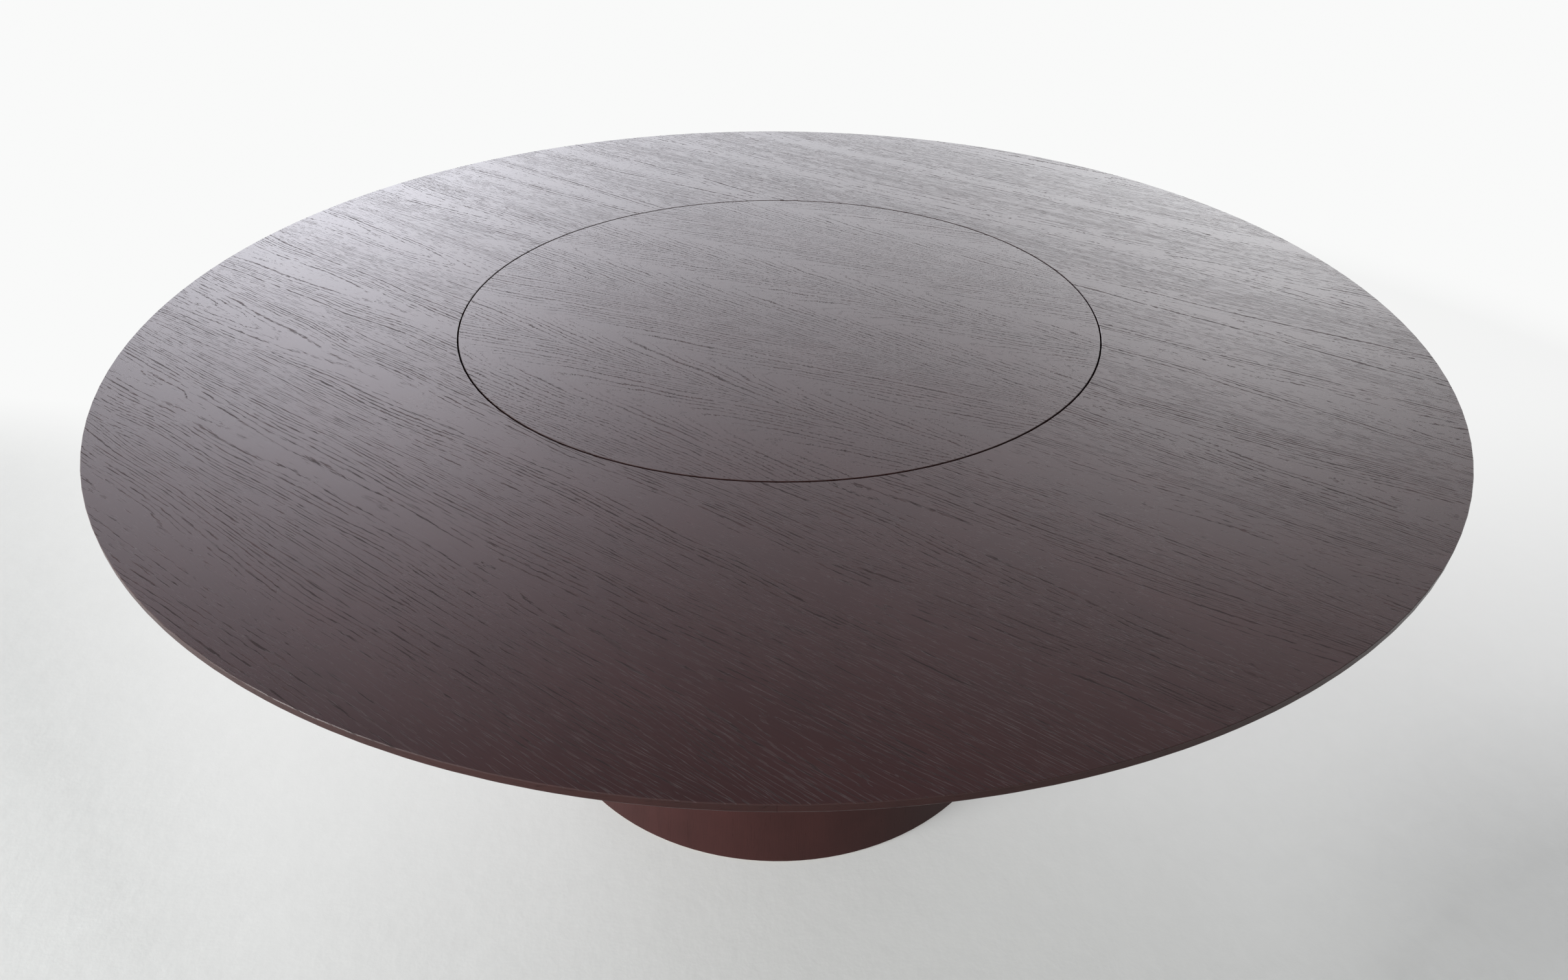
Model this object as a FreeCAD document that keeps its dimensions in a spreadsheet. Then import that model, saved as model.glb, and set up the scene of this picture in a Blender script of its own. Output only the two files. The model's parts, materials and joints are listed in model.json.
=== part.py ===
import FreeCAD, Part
import os
import re
import Sketcher

# Round pedestal dining table with a lazy susan set flush into its top.
# The frame is in millimetres, +Z up, with the origin on the floor under the centre.
# Fixed pieces: ring-shaped top, carrier panel, pedestal, ballast, glides and the outer race.
# The susan turns with the inner race; the ball cage follows it at about half its speed.

# Driving dimensions in millimetres, angles in degrees, counts as whole numbers.
SIZES = {
    # overall and fixed top
    "table_height": 740,
    "top_diameter": 1800,
    "top_thickness": 28,
    "edge_height": 9,
    "bevel_run": 42,
    "lipping_width": 46,
    "lower_arris": 1.2,
    "upper_arris": 0.6,
    "veneer_thickness": 0.8,
    "hole_diameter": 920,
    "hole_lipping_width": 8,
    # lazy susan
    "susan_gap": 2,
    "susan_lipping_width": 8,
    # turntable bearing
    "bearing_height": 12,
    "race_lift": 2,
    "race_gap": 1.6,
    "race_width": 24,
    "ball_circle": 700,
    "ball_diameter": 6,
    "ball_clearance": 0.05,
    "ball_count": 24,
    "cage_thickness": 1,
    "cage_height": 7.4,
    "pocket_gap": 0.15,
    # carrier panel
    "carrier_diameter": 1200,
    "carrier_thickness": 25,
    "carrier_chamfer": 14,
    "access_hole": 24,
    "plug_flange": 31,
    "plug_flange_height": 2,
    "plug_depth": 12,
    # pedestal
    "foot_diameter": 830,
    "base_top_diameter": 620,
    "skin_thickness": 12,
    "bulkhead_thickness": 24,
    "former_thickness": 18,
    "former_level": 350,
    "former_hole": 280,
    "rib_count": 6,
    "rib_start_angle": 30,
    "rib_thickness": 18,
    "rib_inner_radius": 170,
    "rib_lap_radius": 240,
    "foot_ring_width": 62,
    "foot_ring_height": 24,
    "glide_count": 8,
    "glide_diameter": 30,
    "glide_thickness": 3,
    "ballast_diameter": 600,
    "ballast_thickness": 12,
    # clearances of glue lines, threads and bolt holes
    "glue_gap": 0.3,
    "thread_gap": 0.1,
    "bolt_hole_gap": 0.5,
    # M6 screws that hold the ring-shaped top down, and their dowels
    "ring_screw_circle": 1060,
    "ring_screw_count": 8,
    "ring_screw_diameter": 6,
    "ring_screw_head": 12,
    "ring_screw_head_height": 4,
    "ring_screw_grip": 14,
    "ring_washer": 18,
    "ring_insert": 10,
    "ring_insert_length": 16,
    "washer_thickness": 1.6,
    "dowel_count": 4,
    "dowel_start_angle": 22.5,
    "dowel_diameter": 10,
    "dowel_length": 24,
    "dowel_end_gap": 1,
    # M8 bolts that hold the carrier and the ballast
    "base_bolt_circle": 440,
    "base_bolt_count": 6,
    "ballast_bolt_circle": 460,
    "ballast_bolt_count": 6,
    "bolt_diameter": 8,
    "bolt_head": 14,
    "bolt_head_height": 5,
    "bolt_washer": 20,
    "bolt_grip": 18,
    "bolt_insert": 12,
    "bolt_insert_length": 20,
    # countersunk wood screws of the races and glides
    "race_screw_count": 6,
    "race_screw_start_angle": 30,
    "wood_screw_diameter": 4,
    "wood_screw_head": 8,
    "wood_screw_grip": 9,
    "screw_hole_gap": 0.3,
    "screw_head_sink": 0.4,
}

doc = FreeCAD.newDocument("table_with_lazy_susan")
sheet = doc.addObject("Spreadsheet::Sheet", "sizes")
for row, (alias, number) in enumerate(SIZES.items(), start=1):
    sheet.set(f"A{row}", alias)
    sheet.set(f"B{row}", str(number))
    sheet.setAlias(f"B{row}", alias)
doc.recompute()

SIZE_NAME = re.compile(r"\b(" + "|".join(SIZES) + r")\b")
cuts = []

# Levels and radii that several pieces share, worked out from the sheet.
TOP_RADIUS = "top_diameter / 2"
HOLE_RADIUS = "hole_diameter / 2"
TOP_UNDER = "(table_height - top_thickness)"
VENEER_UNDER = "(table_height - veneer_thickness)"
CORE_UNDER = f"({TOP_UNDER} + veneer_thickness)"
CARRIER_UNDER = f"({TOP_UNDER} - carrier_thickness)"
SUSAN_RADIUS = "(hole_diameter / 2 - susan_gap)"
SUSAN_UNDER = f"({TOP_UNDER} + bearing_height)"
BALL_LEVEL = f"({TOP_UNDER} + bearing_height / 2)"
RACE_HEIGHT = "(bearing_height - race_lift)"
OUTER_RACE_BORE = "(ball_circle / 2 + race_gap / 2)"
INNER_RACE_EDGE = "(ball_circle / 2 - race_gap / 2)"
OUTER_SCREW_RADIUS = f"({OUTER_RACE_BORE} + race_width / 2)"
INNER_SCREW_RADIUS = f"({INNER_RACE_EDGE} - race_width / 2)"
BASE_UNDER = "glide_thickness"
BULKHEAD_UNDER = f"({BASE_UNDER} + foot_ring_height)"
BULKHEAD_TOP = f"({BULKHEAD_UNDER} + bulkhead_thickness)"
TOP_BULKHEAD_UNDER = f"({CARRIER_UNDER} - bulkhead_thickness)"
BALLAST_UNDER = f"({BULKHEAD_UNDER} - ballast_thickness)"
SKIN_INSIDE = "(veneer_thickness + skin_thickness + glue_gap)"
FOOT_RING_BORE = f"(foot_diameter / 2 - {SKIN_INSIDE} - foot_ring_width)"
GLIDE_RADIUS = f"({FOOT_RING_BORE} + foot_ring_width / 2)"


def cone_radius(level, inset):
    """Radius inside the pedestal's tapering face, at a height, less an inset."""
    taper = "(foot_diameter - base_top_diameter) / 2"
    return (f"(foot_diameter / 2 - {taper} * ({level} - {BASE_UNDER})"
            f" / ({CARRIER_UNDER} - {BASE_UNDER}) - {inset})")


def bound(expression):
    """The same expression with each size name pointed at its cell."""
    return SIZE_NAME.sub(r"sizes.\1", expression)


def value(expression):
    result = sheet.evalExpression(bound(expression))
    return float(getattr(result, "Value", result))


def new_body(label):
    body = doc.addObject("PartDesign::Body", label)
    body.Label = label
    body.AllowCompound = True
    return body


def origin_feature(body, role):
    return next(item for item in body.Origin.OriginFeatures if item.Role == role)


def new_sketch(body, name, plane, turned="0"):
    """Sketch on one of the body's origin planes, turned about the upright axis."""
    sketch = body.newObject("Sketcher::SketchObject", name)
    sketch.AttachmentSupport = [(origin_feature(body, plane), "")]
    sketch.MapMode = "FlatFace"
    if turned != "0":
        upright = FreeCAD.Vector(0, 1, 0) if plane == "XZ_Plane" else FreeCAD.Vector(0, 0, 1)
        turn = FreeCAD.Rotation(upright, value(turned))
        sketch.AttachmentOffset = FreeCAD.Placement(FreeCAD.Vector(), turn)
        sketch.setExpression("AttachmentOffset.Rotation.Angle", bound(turned))
    return sketch


def pin_point(sketch, geometry, end, across, up, label):
    """Hold one point of a sketch at a bound distance from the sketch's origin."""
    for kind, expression, axis in (("DistanceX", across, "x"), ("DistanceY", up, "y")):
        place = Sketcher.Constraint(kind, -1, 1, geometry, end, value(expression))
        index = sketch.addConstraint(place)
        sketch.renameConstraint(index, f"{label}_{axis}")
        sketch.setExpression(f"Constraints.{label}_{axis}", bound(expression))


def add_polygon(sketch, corners):
    """Closed outline through the corners, each a pair of expressions (across, up)."""
    points = [FreeCAD.Vector(value(across), value(up), 0) for across, up in corners]
    count = len(points)
    for index in range(count):
        side = Part.LineSegment(points[index], points[(index + 1) % count])
        sketch.addGeometry(side, False)
    for index in range(count):
        meeting = Sketcher.Constraint("Coincident", index, 2, (index + 1) % count, 1)
        sketch.addConstraint(meeting)
    for index, (across, up) in enumerate(corners):
        pin_point(sketch, index, 1, across, up, f"corner{index}")


def spin(body, name, sketch, reference, cut):
    kind = "PartDesign::Groove" if cut else "PartDesign::Revolution"
    feature = body.newObject(kind, name)
    feature.Profile = sketch
    feature.ReferenceAxis = (sketch, [reference])
    feature.Angle = 360
    body.Tip = feature
    if cut:
        cuts.append(feature)
    return feature


def spin_ring(body, name, corners, cut=False):
    """Outline turned about the table's own axis."""
    sketch = new_sketch(body, name + "_outline", "XZ_Plane")
    add_polygon(sketch, corners)
    return spin(body, name, sketch, "V_Axis", cut)


def spin_aside(body, name, radius, corners, turned="0", cut=False):
    """Outline turned about an upright axis that stands at a radius from the centre.

    The corners are (distance from that axis, level). The first and the last lie on it."""
    sketch = new_sketch(body, name + "_outline", "XZ_Plane", turned)
    placed = [(f"{radius} + {offset}", level) for offset, level in corners]
    add_polygon(sketch, placed)
    start, end = (FreeCAD.Vector(value(radius), value(corners[end][1]), 0) for end in (-1, 0))
    axis = sketch.addGeometry(Part.LineSegment(start, end), True)
    closing_side = len(corners) - 1
    for end in (1, 2):
        sketch.addConstraint(Sketcher.Constraint("Coincident", axis, end, closing_side, end))
    return spin(body, name, sketch, "Axis0", cut)


def repeat_round(body, feature, count):
    """The feature repeated evenly about the table's axis."""
    pattern = body.newObject("PartDesign::PolarPattern", feature.Name + "_pattern")
    pattern.Originals = [feature]
    pattern.Axis = (origin_feature(body, "Z_Axis"), [""])
    pattern.Angle = 360
    pattern.setExpression("Occurrences", bound(count))
    body.Tip = pattern
    return pattern


def drill_round(body, name, radius, corners, count, turned="0"):
    """Ring of like holes, each with the outline given about its own axis."""
    hole = spin_aside(body, name, radius, corners, turned, cut=True)
    repeat_round(body, hole, count)


def fastener_ring(label, radius, corners, count, turned="0"):
    """One sub-part of like fasteners that stand on a circle, each a solid of its own."""
    body = new_body(label)
    piece = spin_aside(body, label + "_piece", radius, corners, turned)
    repeat_round(body, piece, count)
    return body


def plain_hole(radius, low, high):
    return [("0", low), (radius, low), (radius, high), ("0", high)]


def disc(label, low, high, low_radius, high_radius):
    """Round panel whose rim runs from one radius at its underside to another on top."""
    body = new_body(label)
    spin_ring(body, label + "_panel",
              [("0", low), (low_radius, low), (high_radius, high), ("0", high)])
    return body


def ring(label, low, high, low_radii, high_radii):
    """Ring panel, its bore and rim given at the underside and on top."""
    body = new_body(label)
    spin_ring(body, label + "_panel",
              [(low_radii[0], low), (low_radii[1], low), (high_radii[1], high), (high_radii[0], high)])
    return body


def edge_at(feature, radius, level):
    """Name of the circular edge that lies at a radius and a level."""
    for number, edge in enumerate(feature.Shape.Edges, start=1):
        curve = edge.Curve
        if not isinstance(curve, Part.Circle):
            continue
        if abs(curve.Radius - value(radius)) < 1e-3 and abs(curve.Center.z - value(level)) < 1e-3:
            return f"Edge{number}"
    raise RuntimeError(f"{feature.Name}: no edge at {radius}, {level}")


# ---- fixed top -------------------------------------------------------------------------

RING_SCREW_RADIUS = "ring_screw_circle / 2"
RING_SCREW_TIP = f"({TOP_UNDER} + ring_screw_grip)"
INSERT_TOP = f"({TOP_UNDER} + ring_insert_length)"
DOWEL_LOW = f"({TOP_UNDER} - dowel_length / 2)"
DOWEL_HIGH = f"({TOP_UNDER} + dowel_length / 2)"


def drill_for_ring_fasteners(body, low, insert_top, dowel_top):
    """Insert holes and dowel holes from the underside of the fixed top."""
    drill_round(body, "insert_hole", RING_SCREW_RADIUS,
                plain_hole("(ring_insert / 2 + thread_gap)", low, insert_top),
                "ring_screw_count")
    drill_round(body, "dowel_hole", RING_SCREW_RADIUS,
                plain_hole("(dowel_diameter / 2 + thread_gap)", low, dowel_top),
                "dowel_count", "dowel_start_angle")


def make_fixed_top():
    core_bore = f"({HOLE_RADIUS} + hole_lipping_width)"
    core_rim = f"({TOP_RADIUS} - lipping_width)"
    flat_rim = f"({TOP_RADIUS} - bevel_run)"
    edge_under = "(table_height - edge_height)"

    core = ring("top_core", CORE_UNDER, VENEER_UNDER, (core_bore, core_rim), (core_bore, core_rim))
    drill_for_ring_fasteners(core, CORE_UNDER, f"({INSERT_TOP} + thread_gap)",
                             f"({DOWEL_HIGH} + dowel_end_gap)")

    # Solid band: upright edge above, then a wide bevel in to the underside.
    lipping = new_body("top_lipping")
    band = spin_ring(lipping, "lipping_band",
                     [(core_rim, CORE_UNDER), (flat_rim, CORE_UNDER), (TOP_RADIUS, edge_under),
                      (TOP_RADIUS, VENEER_UNDER), (core_rim, VENEER_UNDER)])
    doc.recompute()
    rounding = lipping.newObject("PartDesign::Fillet", "lower_arris_round")
    rounding.Base = (band, [edge_at(band, TOP_RADIUS, edge_under)])
    rounding.setExpression("Radius", bound("lower_arris"))
    lipping.Tip = rounding

    ring("hole_lipping", CORE_UNDER, VENEER_UNDER, (HOLE_RADIUS, core_bore), (HOLE_RADIUS, core_bore))

    # Face veneer with both arrises taken off.
    veneer = new_body("top_veneer")
    spin_ring(veneer, "veneer_sheet",
              [(HOLE_RADIUS, VENEER_UNDER), (TOP_RADIUS, VENEER_UNDER),
               (TOP_RADIUS, "(table_height - upper_arris)"),
               (f"({TOP_RADIUS} - upper_arris)", "table_height"),
               (f"({HOLE_RADIUS} + upper_arris)", "table_height"),
               (HOLE_RADIUS, "(table_height - upper_arris)")])

    backing = ring("top_backing_veneer", TOP_UNDER, CORE_UNDER,
                   (HOLE_RADIUS, flat_rim), (HOLE_RADIUS, flat_rim))
    drill_for_ring_fasteners(backing, TOP_UNDER, CORE_UNDER, CORE_UNDER)


def make_ring_fasteners():
    washer_under = f"({CARRIER_UNDER} - washer_thickness)"
    head_under = f"({washer_under} - ring_screw_head_height)"
    shank = "ring_screw_diameter / 2"
    fastener_ring("top_screws", RING_SCREW_RADIUS,
                  [("0", head_under), ("ring_screw_head / 2", head_under),
                   ("ring_screw_head / 2", washer_under), (shank, washer_under),
                   (shank, RING_SCREW_TIP), ("0", RING_SCREW_TIP)],
                  "ring_screw_count")
    washer_ring("top_washers", RING_SCREW_RADIUS, washer_under, "ring_washer",
                "ring_screw_diameter", "ring_screw_count")
    sleeve_ring("top_inserts", RING_SCREW_RADIUS, TOP_UNDER, INSERT_TOP, "ring_insert / 2",
                "(ring_screw_diameter / 2 + thread_gap)", "ring_screw_count")
    fastener_ring("top_dowels", RING_SCREW_RADIUS,
                  plain_hole("dowel_diameter / 2", DOWEL_LOW, DOWEL_HIGH),
                  "dowel_count", "dowel_start_angle")


def sleeve_ring(label, radius, low, high, outer, bore, count):
    """Tubes that stand on a circle, such as threaded inserts and washers."""
    body = new_body(label)
    tube = spin_aside(body, label + "_piece", radius, plain_hole(outer, low, high))
    repeat_round(body, tube, count)
    drill_round(body, label + "_bore", radius, plain_hole(bore, low, high), count)
    return body


def washer_ring(label, radius, low, diameter, screw, count):
    sleeve_ring(label, radius, low, f"({low} + washer_thickness)", f"{diameter} / 2",
                f"({screw} / 2 + bolt_hole_gap)", count)


# ---- carrier panel ---------------------------------------------------------------------

def screw_pilot(low, high):
    """Pilot hole that a wood screw's thread fills."""
    return plain_hole("(wood_screw_diameter / 2 + thread_gap)", low, high)


RACE_SCREW_TIP = f"({TOP_UNDER} - wood_screw_grip)"


def make_carrier():
    rim = "carrier_diameter / 2"
    carrier = new_body("carrier_panel")
    spin_ring(carrier, "carrier_disc",
              [("0", CARRIER_UNDER), (f"({rim} - carrier_chamfer)", CARRIER_UNDER),
               (rim, f"({CARRIER_UNDER} + carrier_chamfer)"), (rim, TOP_UNDER), ("0", TOP_UNDER)])
    drill_round(carrier, "ring_screw_hole", RING_SCREW_RADIUS,
                plain_hole("(ring_screw_diameter / 2 + bolt_hole_gap)", CARRIER_UNDER, TOP_UNDER),
                "ring_screw_count")
    drill_round(carrier, "dowel_hole", RING_SCREW_RADIUS,
                plain_hole("(dowel_diameter / 2 + thread_gap)",
                           f"({DOWEL_LOW} - dowel_end_gap)", TOP_UNDER),
                "dowel_count", "dowel_start_angle")
    drill_round(carrier, "base_bolt_hole", "base_bolt_circle / 2",
                plain_hole("(bolt_diameter / 2 + bolt_hole_gap)", CARRIER_UNDER, TOP_UNDER),
                "base_bolt_count")
    drill_round(carrier, "race_screw_hole", OUTER_SCREW_RADIUS,
                screw_pilot(RACE_SCREW_TIP, TOP_UNDER),
                "race_screw_count", "race_screw_start_angle")
    spin_aside(carrier, "access_opening", INNER_SCREW_RADIUS,
               plain_hole("access_hole / 2", CARRIER_UNDER, TOP_UNDER), cut=True)

    # Push-in plug with a flange under the panel.
    flange_under = f"({CARRIER_UNDER} - plug_flange_height)"
    plug_top = f"({CARRIER_UNDER} + plug_depth)"
    barrel = "(access_hole / 2 - glue_gap)"
    plug = new_body("access_plug")
    spin_aside(plug, "plug_body", INNER_SCREW_RADIUS,
               [("0", flange_under), ("plug_flange / 2", flange_under),
                ("plug_flange / 2", CARRIER_UNDER), (barrel, CARRIER_UNDER),
                (barrel, plug_top), ("0", plug_top)])


# ---- turntable bearing -----------------------------------------------------------------

def countersink(face, sign):
    """Hole for a countersunk screw, from a face inwards. The sign is + or - along Z."""
    head = "(wood_screw_head / 2 + screw_hole_gap)"
    shank = "(wood_screw_diameter / 2 + screw_hole_gap)"
    seat = f"({face} {sign} screw_head_sink)"
    cone_end = f"({seat} {sign} (wood_screw_head - wood_screw_diameter) / 2)"
    return [("0", face), (head, face), (head, seat), (shank, cone_end)], shank


def through_countersink(face, far_face, sign):
    corners, shank = countersink(face, sign)
    return corners + [(shank, far_face), ("0", far_face)]


def wood_screw(face, tip, sign):
    """Countersunk screw, its head sunk a little under a face."""
    head = "wood_screw_head / 2"
    shank = "wood_screw_diameter / 2"
    seat = f"({face} {sign} screw_head_sink)"
    cone_end = f"({seat} {sign} (wood_screw_head - wood_screw_diameter) / 2)"
    back = "-" if sign == "+" else "+"
    point_start = f"({tip} {back} {shank})"
    return [("0", seat), (head, seat), (shank, cone_end), (shank, point_start), ("0", tip)]


def cut_ball_track(race):
    """Round groove for the balls, all the way round a race."""
    sketch = new_sketch(race, "track_outline", "XZ_Plane")
    centre = FreeCAD.Vector(value("ball_circle / 2"), value(BALL_LEVEL), 0)
    track_radius = "(ball_diameter / 2 + ball_clearance)"
    circle = Part.Circle(centre, FreeCAD.Vector(0, 0, 1), value(track_radius))
    sketch.addGeometry(circle, False)
    pin_point(sketch, 0, 3, "ball_circle / 2", BALL_LEVEL, "centre")
    index = sketch.addConstraint(Sketcher.Constraint("Radius", 0, value(track_radius)))
    sketch.renameConstraint(index, "track_radius")
    sketch.setExpression("Constraints.track_radius", bound(track_radius))
    spin(race, "ball_track", sketch, "V_Axis", cut=True)


def make_bearing():
    outer_top = f"({TOP_UNDER} + {RACE_HEIGHT})"
    outer_rim = f"({OUTER_RACE_BORE} + race_width)"
    outer = ring("bearing_outer_ring", TOP_UNDER, outer_top,
                 (OUTER_RACE_BORE, outer_rim), (OUTER_RACE_BORE, outer_rim))
    cut_ball_track(outer)
    drill_round(outer, "outer_screw_hole", OUTER_SCREW_RADIUS,
                through_countersink(outer_top, TOP_UNDER, "-"),
                "race_screw_count", "race_screw_start_angle")
    fastener_ring("bearing_outer_screws", OUTER_SCREW_RADIUS,
                  wood_screw(outer_top, RACE_SCREW_TIP, "-"),
                  "race_screw_count", "race_screw_start_angle")

    inner_under = f"({SUSAN_UNDER} - {RACE_HEIGHT})"
    inner_bore = f"({INNER_RACE_EDGE} - race_width)"
    inner = ring("bearing_inner_ring", inner_under, SUSAN_UNDER,
                 (inner_bore, INNER_RACE_EDGE), (inner_bore, INNER_RACE_EDGE))
    cut_ball_track(inner)
    drill_round(inner, "inner_screw_hole", INNER_SCREW_RADIUS,
                through_countersink(inner_under, SUSAN_UNDER, "+"), "race_screw_count")
    fastener_ring("bearing_inner_screws", INNER_SCREW_RADIUS,
                  wood_screw(inner_under, SUSAN_SCREW_TIP, "+"), "race_screw_count")


SUSAN_SCREW_TIP = f"({SUSAN_UNDER} + wood_screw_grip)"


def make_balls():
    """Steel balls on the ball circle: a half circle turned about its own upright chord."""
    balls = new_body("bearing_balls")
    sketch = new_sketch(balls, "ball_outline", "XZ_Plane")
    across, level = value("ball_circle / 2"), value(BALL_LEVEL)
    radius = value("ball_diameter / 2")
    foot = FreeCAD.Vector(across, level - radius, 0)
    crown = FreeCAD.Vector(across, level + radius, 0)
    bulge = FreeCAD.Vector(across + radius, level, 0)
    sketch.addGeometry(Part.LineSegment(foot, crown), False)
    sketch.addGeometry(Part.Arc(foot, bulge, crown), False)
    axis = sketch.addGeometry(Part.LineSegment(foot, crown), True)
    for end in (1, 2):
        sketch.addConstraint(Sketcher.Constraint("Coincident", 0, end, 1, end))
        sketch.addConstraint(Sketcher.Constraint("Coincident", axis, end, 0, end))
    pin_point(sketch, 0, 1, "ball_circle / 2", f"({BALL_LEVEL} - ball_diameter / 2)", "foot")
    pin_point(sketch, 0, 2, "ball_circle / 2", f"({BALL_LEVEL} + ball_diameter / 2)", "crown")
    sketch.addConstraint(Sketcher.Constraint("PointOnObject", 1, 3, 0))
    ball = spin(balls, "ball", sketch, "Axis0", cut=False)
    repeat_round(balls, ball, "ball_count")


def make_cage():
    """Thin ring between the races, with a round pocket for each ball."""
    low = f"({BALL_LEVEL} - cage_height / 2)"
    high = f"({BALL_LEVEL} + cage_height / 2)"
    bore = "(ball_circle / 2 - cage_thickness / 2)"
    rim = "(ball_circle / 2 + cage_thickness / 2)"
    cage = ring("bearing_cage", low, high, (bore, rim), (bore, rim))
    sketch = new_sketch(cage, "pocket_outline", "YZ_Plane")
    pocket_radius = "(ball_diameter / 2 + pocket_gap)"
    centre = FreeCAD.Vector(0, value(BALL_LEVEL), 0)
    sketch.addGeometry(Part.Circle(centre, FreeCAD.Vector(0, 0, 1), value(pocket_radius)), False)
    pin_point(sketch, 0, 3, "0", BALL_LEVEL, "centre")
    index = sketch.addConstraint(Sketcher.Constraint("Radius", 0, value(pocket_radius)))
    sketch.renameConstraint(index, "pocket_radius")
    sketch.setExpression("Constraints.pocket_radius", bound(pocket_radius))
    pocket = cage.newObject("PartDesign::Pocket", "ball_pocket")
    pocket.Profile = sketch
    pocket.Reversed = True
    pocket.setExpression("Length", bound("ball_circle"))
    cage.Tip = pocket
    cuts.append(pocket)
    repeat_round(cage, pocket, "ball_count")


# ---- lazy susan ------------------------------------------------------------------------

def make_susan():
    core_rim = f"({SUSAN_RADIUS} - susan_lipping_width)"
    low = f"({SUSAN_UNDER} + veneer_thickness)"
    core = disc("susan_core", low, VENEER_UNDER, core_rim, core_rim)
    drill_round(core, "susan_screw_hole", INNER_SCREW_RADIUS,
                screw_pilot(low, SUSAN_SCREW_TIP), "race_screw_count")
    ring("susan_lipping", low, VENEER_UNDER, (core_rim, SUSAN_RADIUS), (core_rim, SUSAN_RADIUS))

    veneer = new_body("susan_veneer")
    spin_ring(veneer, "veneer_sheet",
              [("0", VENEER_UNDER), (SUSAN_RADIUS, VENEER_UNDER),
               (SUSAN_RADIUS, "(table_height - upper_arris)"),
               (f"({SUSAN_RADIUS} - upper_arris)", "table_height"), ("0", "table_height")])
    backing = disc("susan_backing_veneer", SUSAN_UNDER, low, SUSAN_RADIUS, SUSAN_RADIUS)
    drill_round(backing, "susan_screw_hole", INNER_SCREW_RADIUS,
                screw_pilot(SUSAN_UNDER, low), "race_screw_count")


# ---- pedestal --------------------------------------------------------------------------

BOLT_RADIUS = "base_bolt_circle / 2"
BOLT_TIP = f"({CARRIER_UNDER} - bolt_grip)"
BOLT_INSERT_END = f"({CARRIER_UNDER} - bolt_insert_length)"
BALLAST_BOLT_RADIUS = "ballast_bolt_circle / 2"
BALLAST_BOLT_TIP = f"({BULKHEAD_UNDER} + bolt_grip)"
BALLAST_INSERT_END = f"({BULKHEAD_UNDER} + bolt_insert_length)"
INSERT_HOLE = "(bolt_insert / 2 + thread_gap)"


def bolt(head_end, seat, tip):
    head, shank = "bolt_head / 2", "bolt_diameter / 2"
    return [("0", head_end), (head, head_end), (head, seat), (shank, seat), (shank, tip), ("0", tip)]


def conical_disc(label, low, high):
    return disc(label, low, high, cone_radius(low, SKIN_INSIDE), cone_radius(high, SKIN_INSIDE))


def make_bulkheads():
    top = conical_disc("base_top_bulkhead", TOP_BULKHEAD_UNDER, CARRIER_UNDER)
    drill_round(top, "insert_hole", BOLT_RADIUS,
                plain_hole(INSERT_HOLE, BOLT_INSERT_END, CARRIER_UNDER), "base_bolt_count")
    bottom = conical_disc("base_bottom_bulkhead", BULKHEAD_UNDER, BULKHEAD_TOP)
    drill_round(bottom, "insert_hole", BALLAST_BOLT_RADIUS,
                plain_hole(INSERT_HOLE, BULKHEAD_UNDER, BALLAST_INSERT_END), "ballast_bolt_count")


def make_middle_former():
    """Ring half-lapped with the ribs: its slots are open to the rim."""
    low = "(former_level - former_thickness / 2)"
    high = "(former_level + former_thickness / 2)"
    former = ring("base_middle_former", low, high,
                  ("former_hole / 2", cone_radius(low, SKIN_INSIDE)),
                  ("former_hole / 2", cone_radius(high, SKIN_INSIDE)))
    sketch = new_sketch(former, "slot_outline", "XY_Plane", "rib_start_angle")
    slot_end = "(rib_lap_radius - glue_gap)"
    half_width = "(rib_thickness / 2 + glue_gap)"
    beyond_rim = "foot_diameter / 2"
    add_polygon(sketch, [(slot_end, f"-{half_width}"), (beyond_rim, f"-{half_width}"),
                         (beyond_rim, half_width), (slot_end, half_width)])
    slot = former.newObject("PartDesign::Pocket", "rib_slot")
    slot.Profile = sketch
    slot.Type = "ThroughAll"
    slot.Midplane = True
    former.Tip = slot
    cuts.append(slot)
    repeat_round(former, slot, "rib_count")


def make_rib(number):
    """Upright tapering rib, notched from its inner edge for the middle former."""
    rib = new_body(f"rib_{number}")
    notch_low = "(former_level - former_thickness / 2 - glue_gap)"
    notch_high = "(former_level + former_thickness / 2 + glue_gap)"
    sketch = new_sketch(rib, "rib_outline", "XZ_Plane")
    add_polygon(sketch, [("rib_inner_radius", BULKHEAD_TOP),
                         (cone_radius(BULKHEAD_TOP, SKIN_INSIDE), BULKHEAD_TOP),
                         (cone_radius(TOP_BULKHEAD_UNDER, SKIN_INSIDE), TOP_BULKHEAD_UNDER),
                         ("rib_inner_radius", TOP_BULKHEAD_UNDER),
                         ("rib_inner_radius", notch_high), ("rib_lap_radius", notch_high),
                         ("rib_lap_radius", notch_low), ("rib_inner_radius", notch_low)])
    board = rib.newObject("PartDesign::Pad", "rib_board")
    board.Profile = sketch
    board.Midplane = True
    board.setExpression("Length", bound("rib_thickness"))
    rib.Tip = board
    rib.setExpression("Placement.Rotation.Angle",
                      bound(f"rib_start_angle + {number - 1} * 360 / rib_count"))


def make_skin():
    """Bent plywood skin and its upright-grained face veneer, both tapering upwards."""
    for label, inset, depth in (("base_shell", "veneer_thickness", "skin_thickness"),
                                ("base_veneer", "0", "veneer_thickness")):
        inner = f"({inset} + {depth})"
        ring(label, BASE_UNDER, CARRIER_UNDER,
             (cone_radius(BASE_UNDER, inner), cone_radius(BASE_UNDER, inset)),
             (cone_radius(CARRIER_UNDER, inner), cone_radius(CARRIER_UNDER, inset)))


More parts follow.
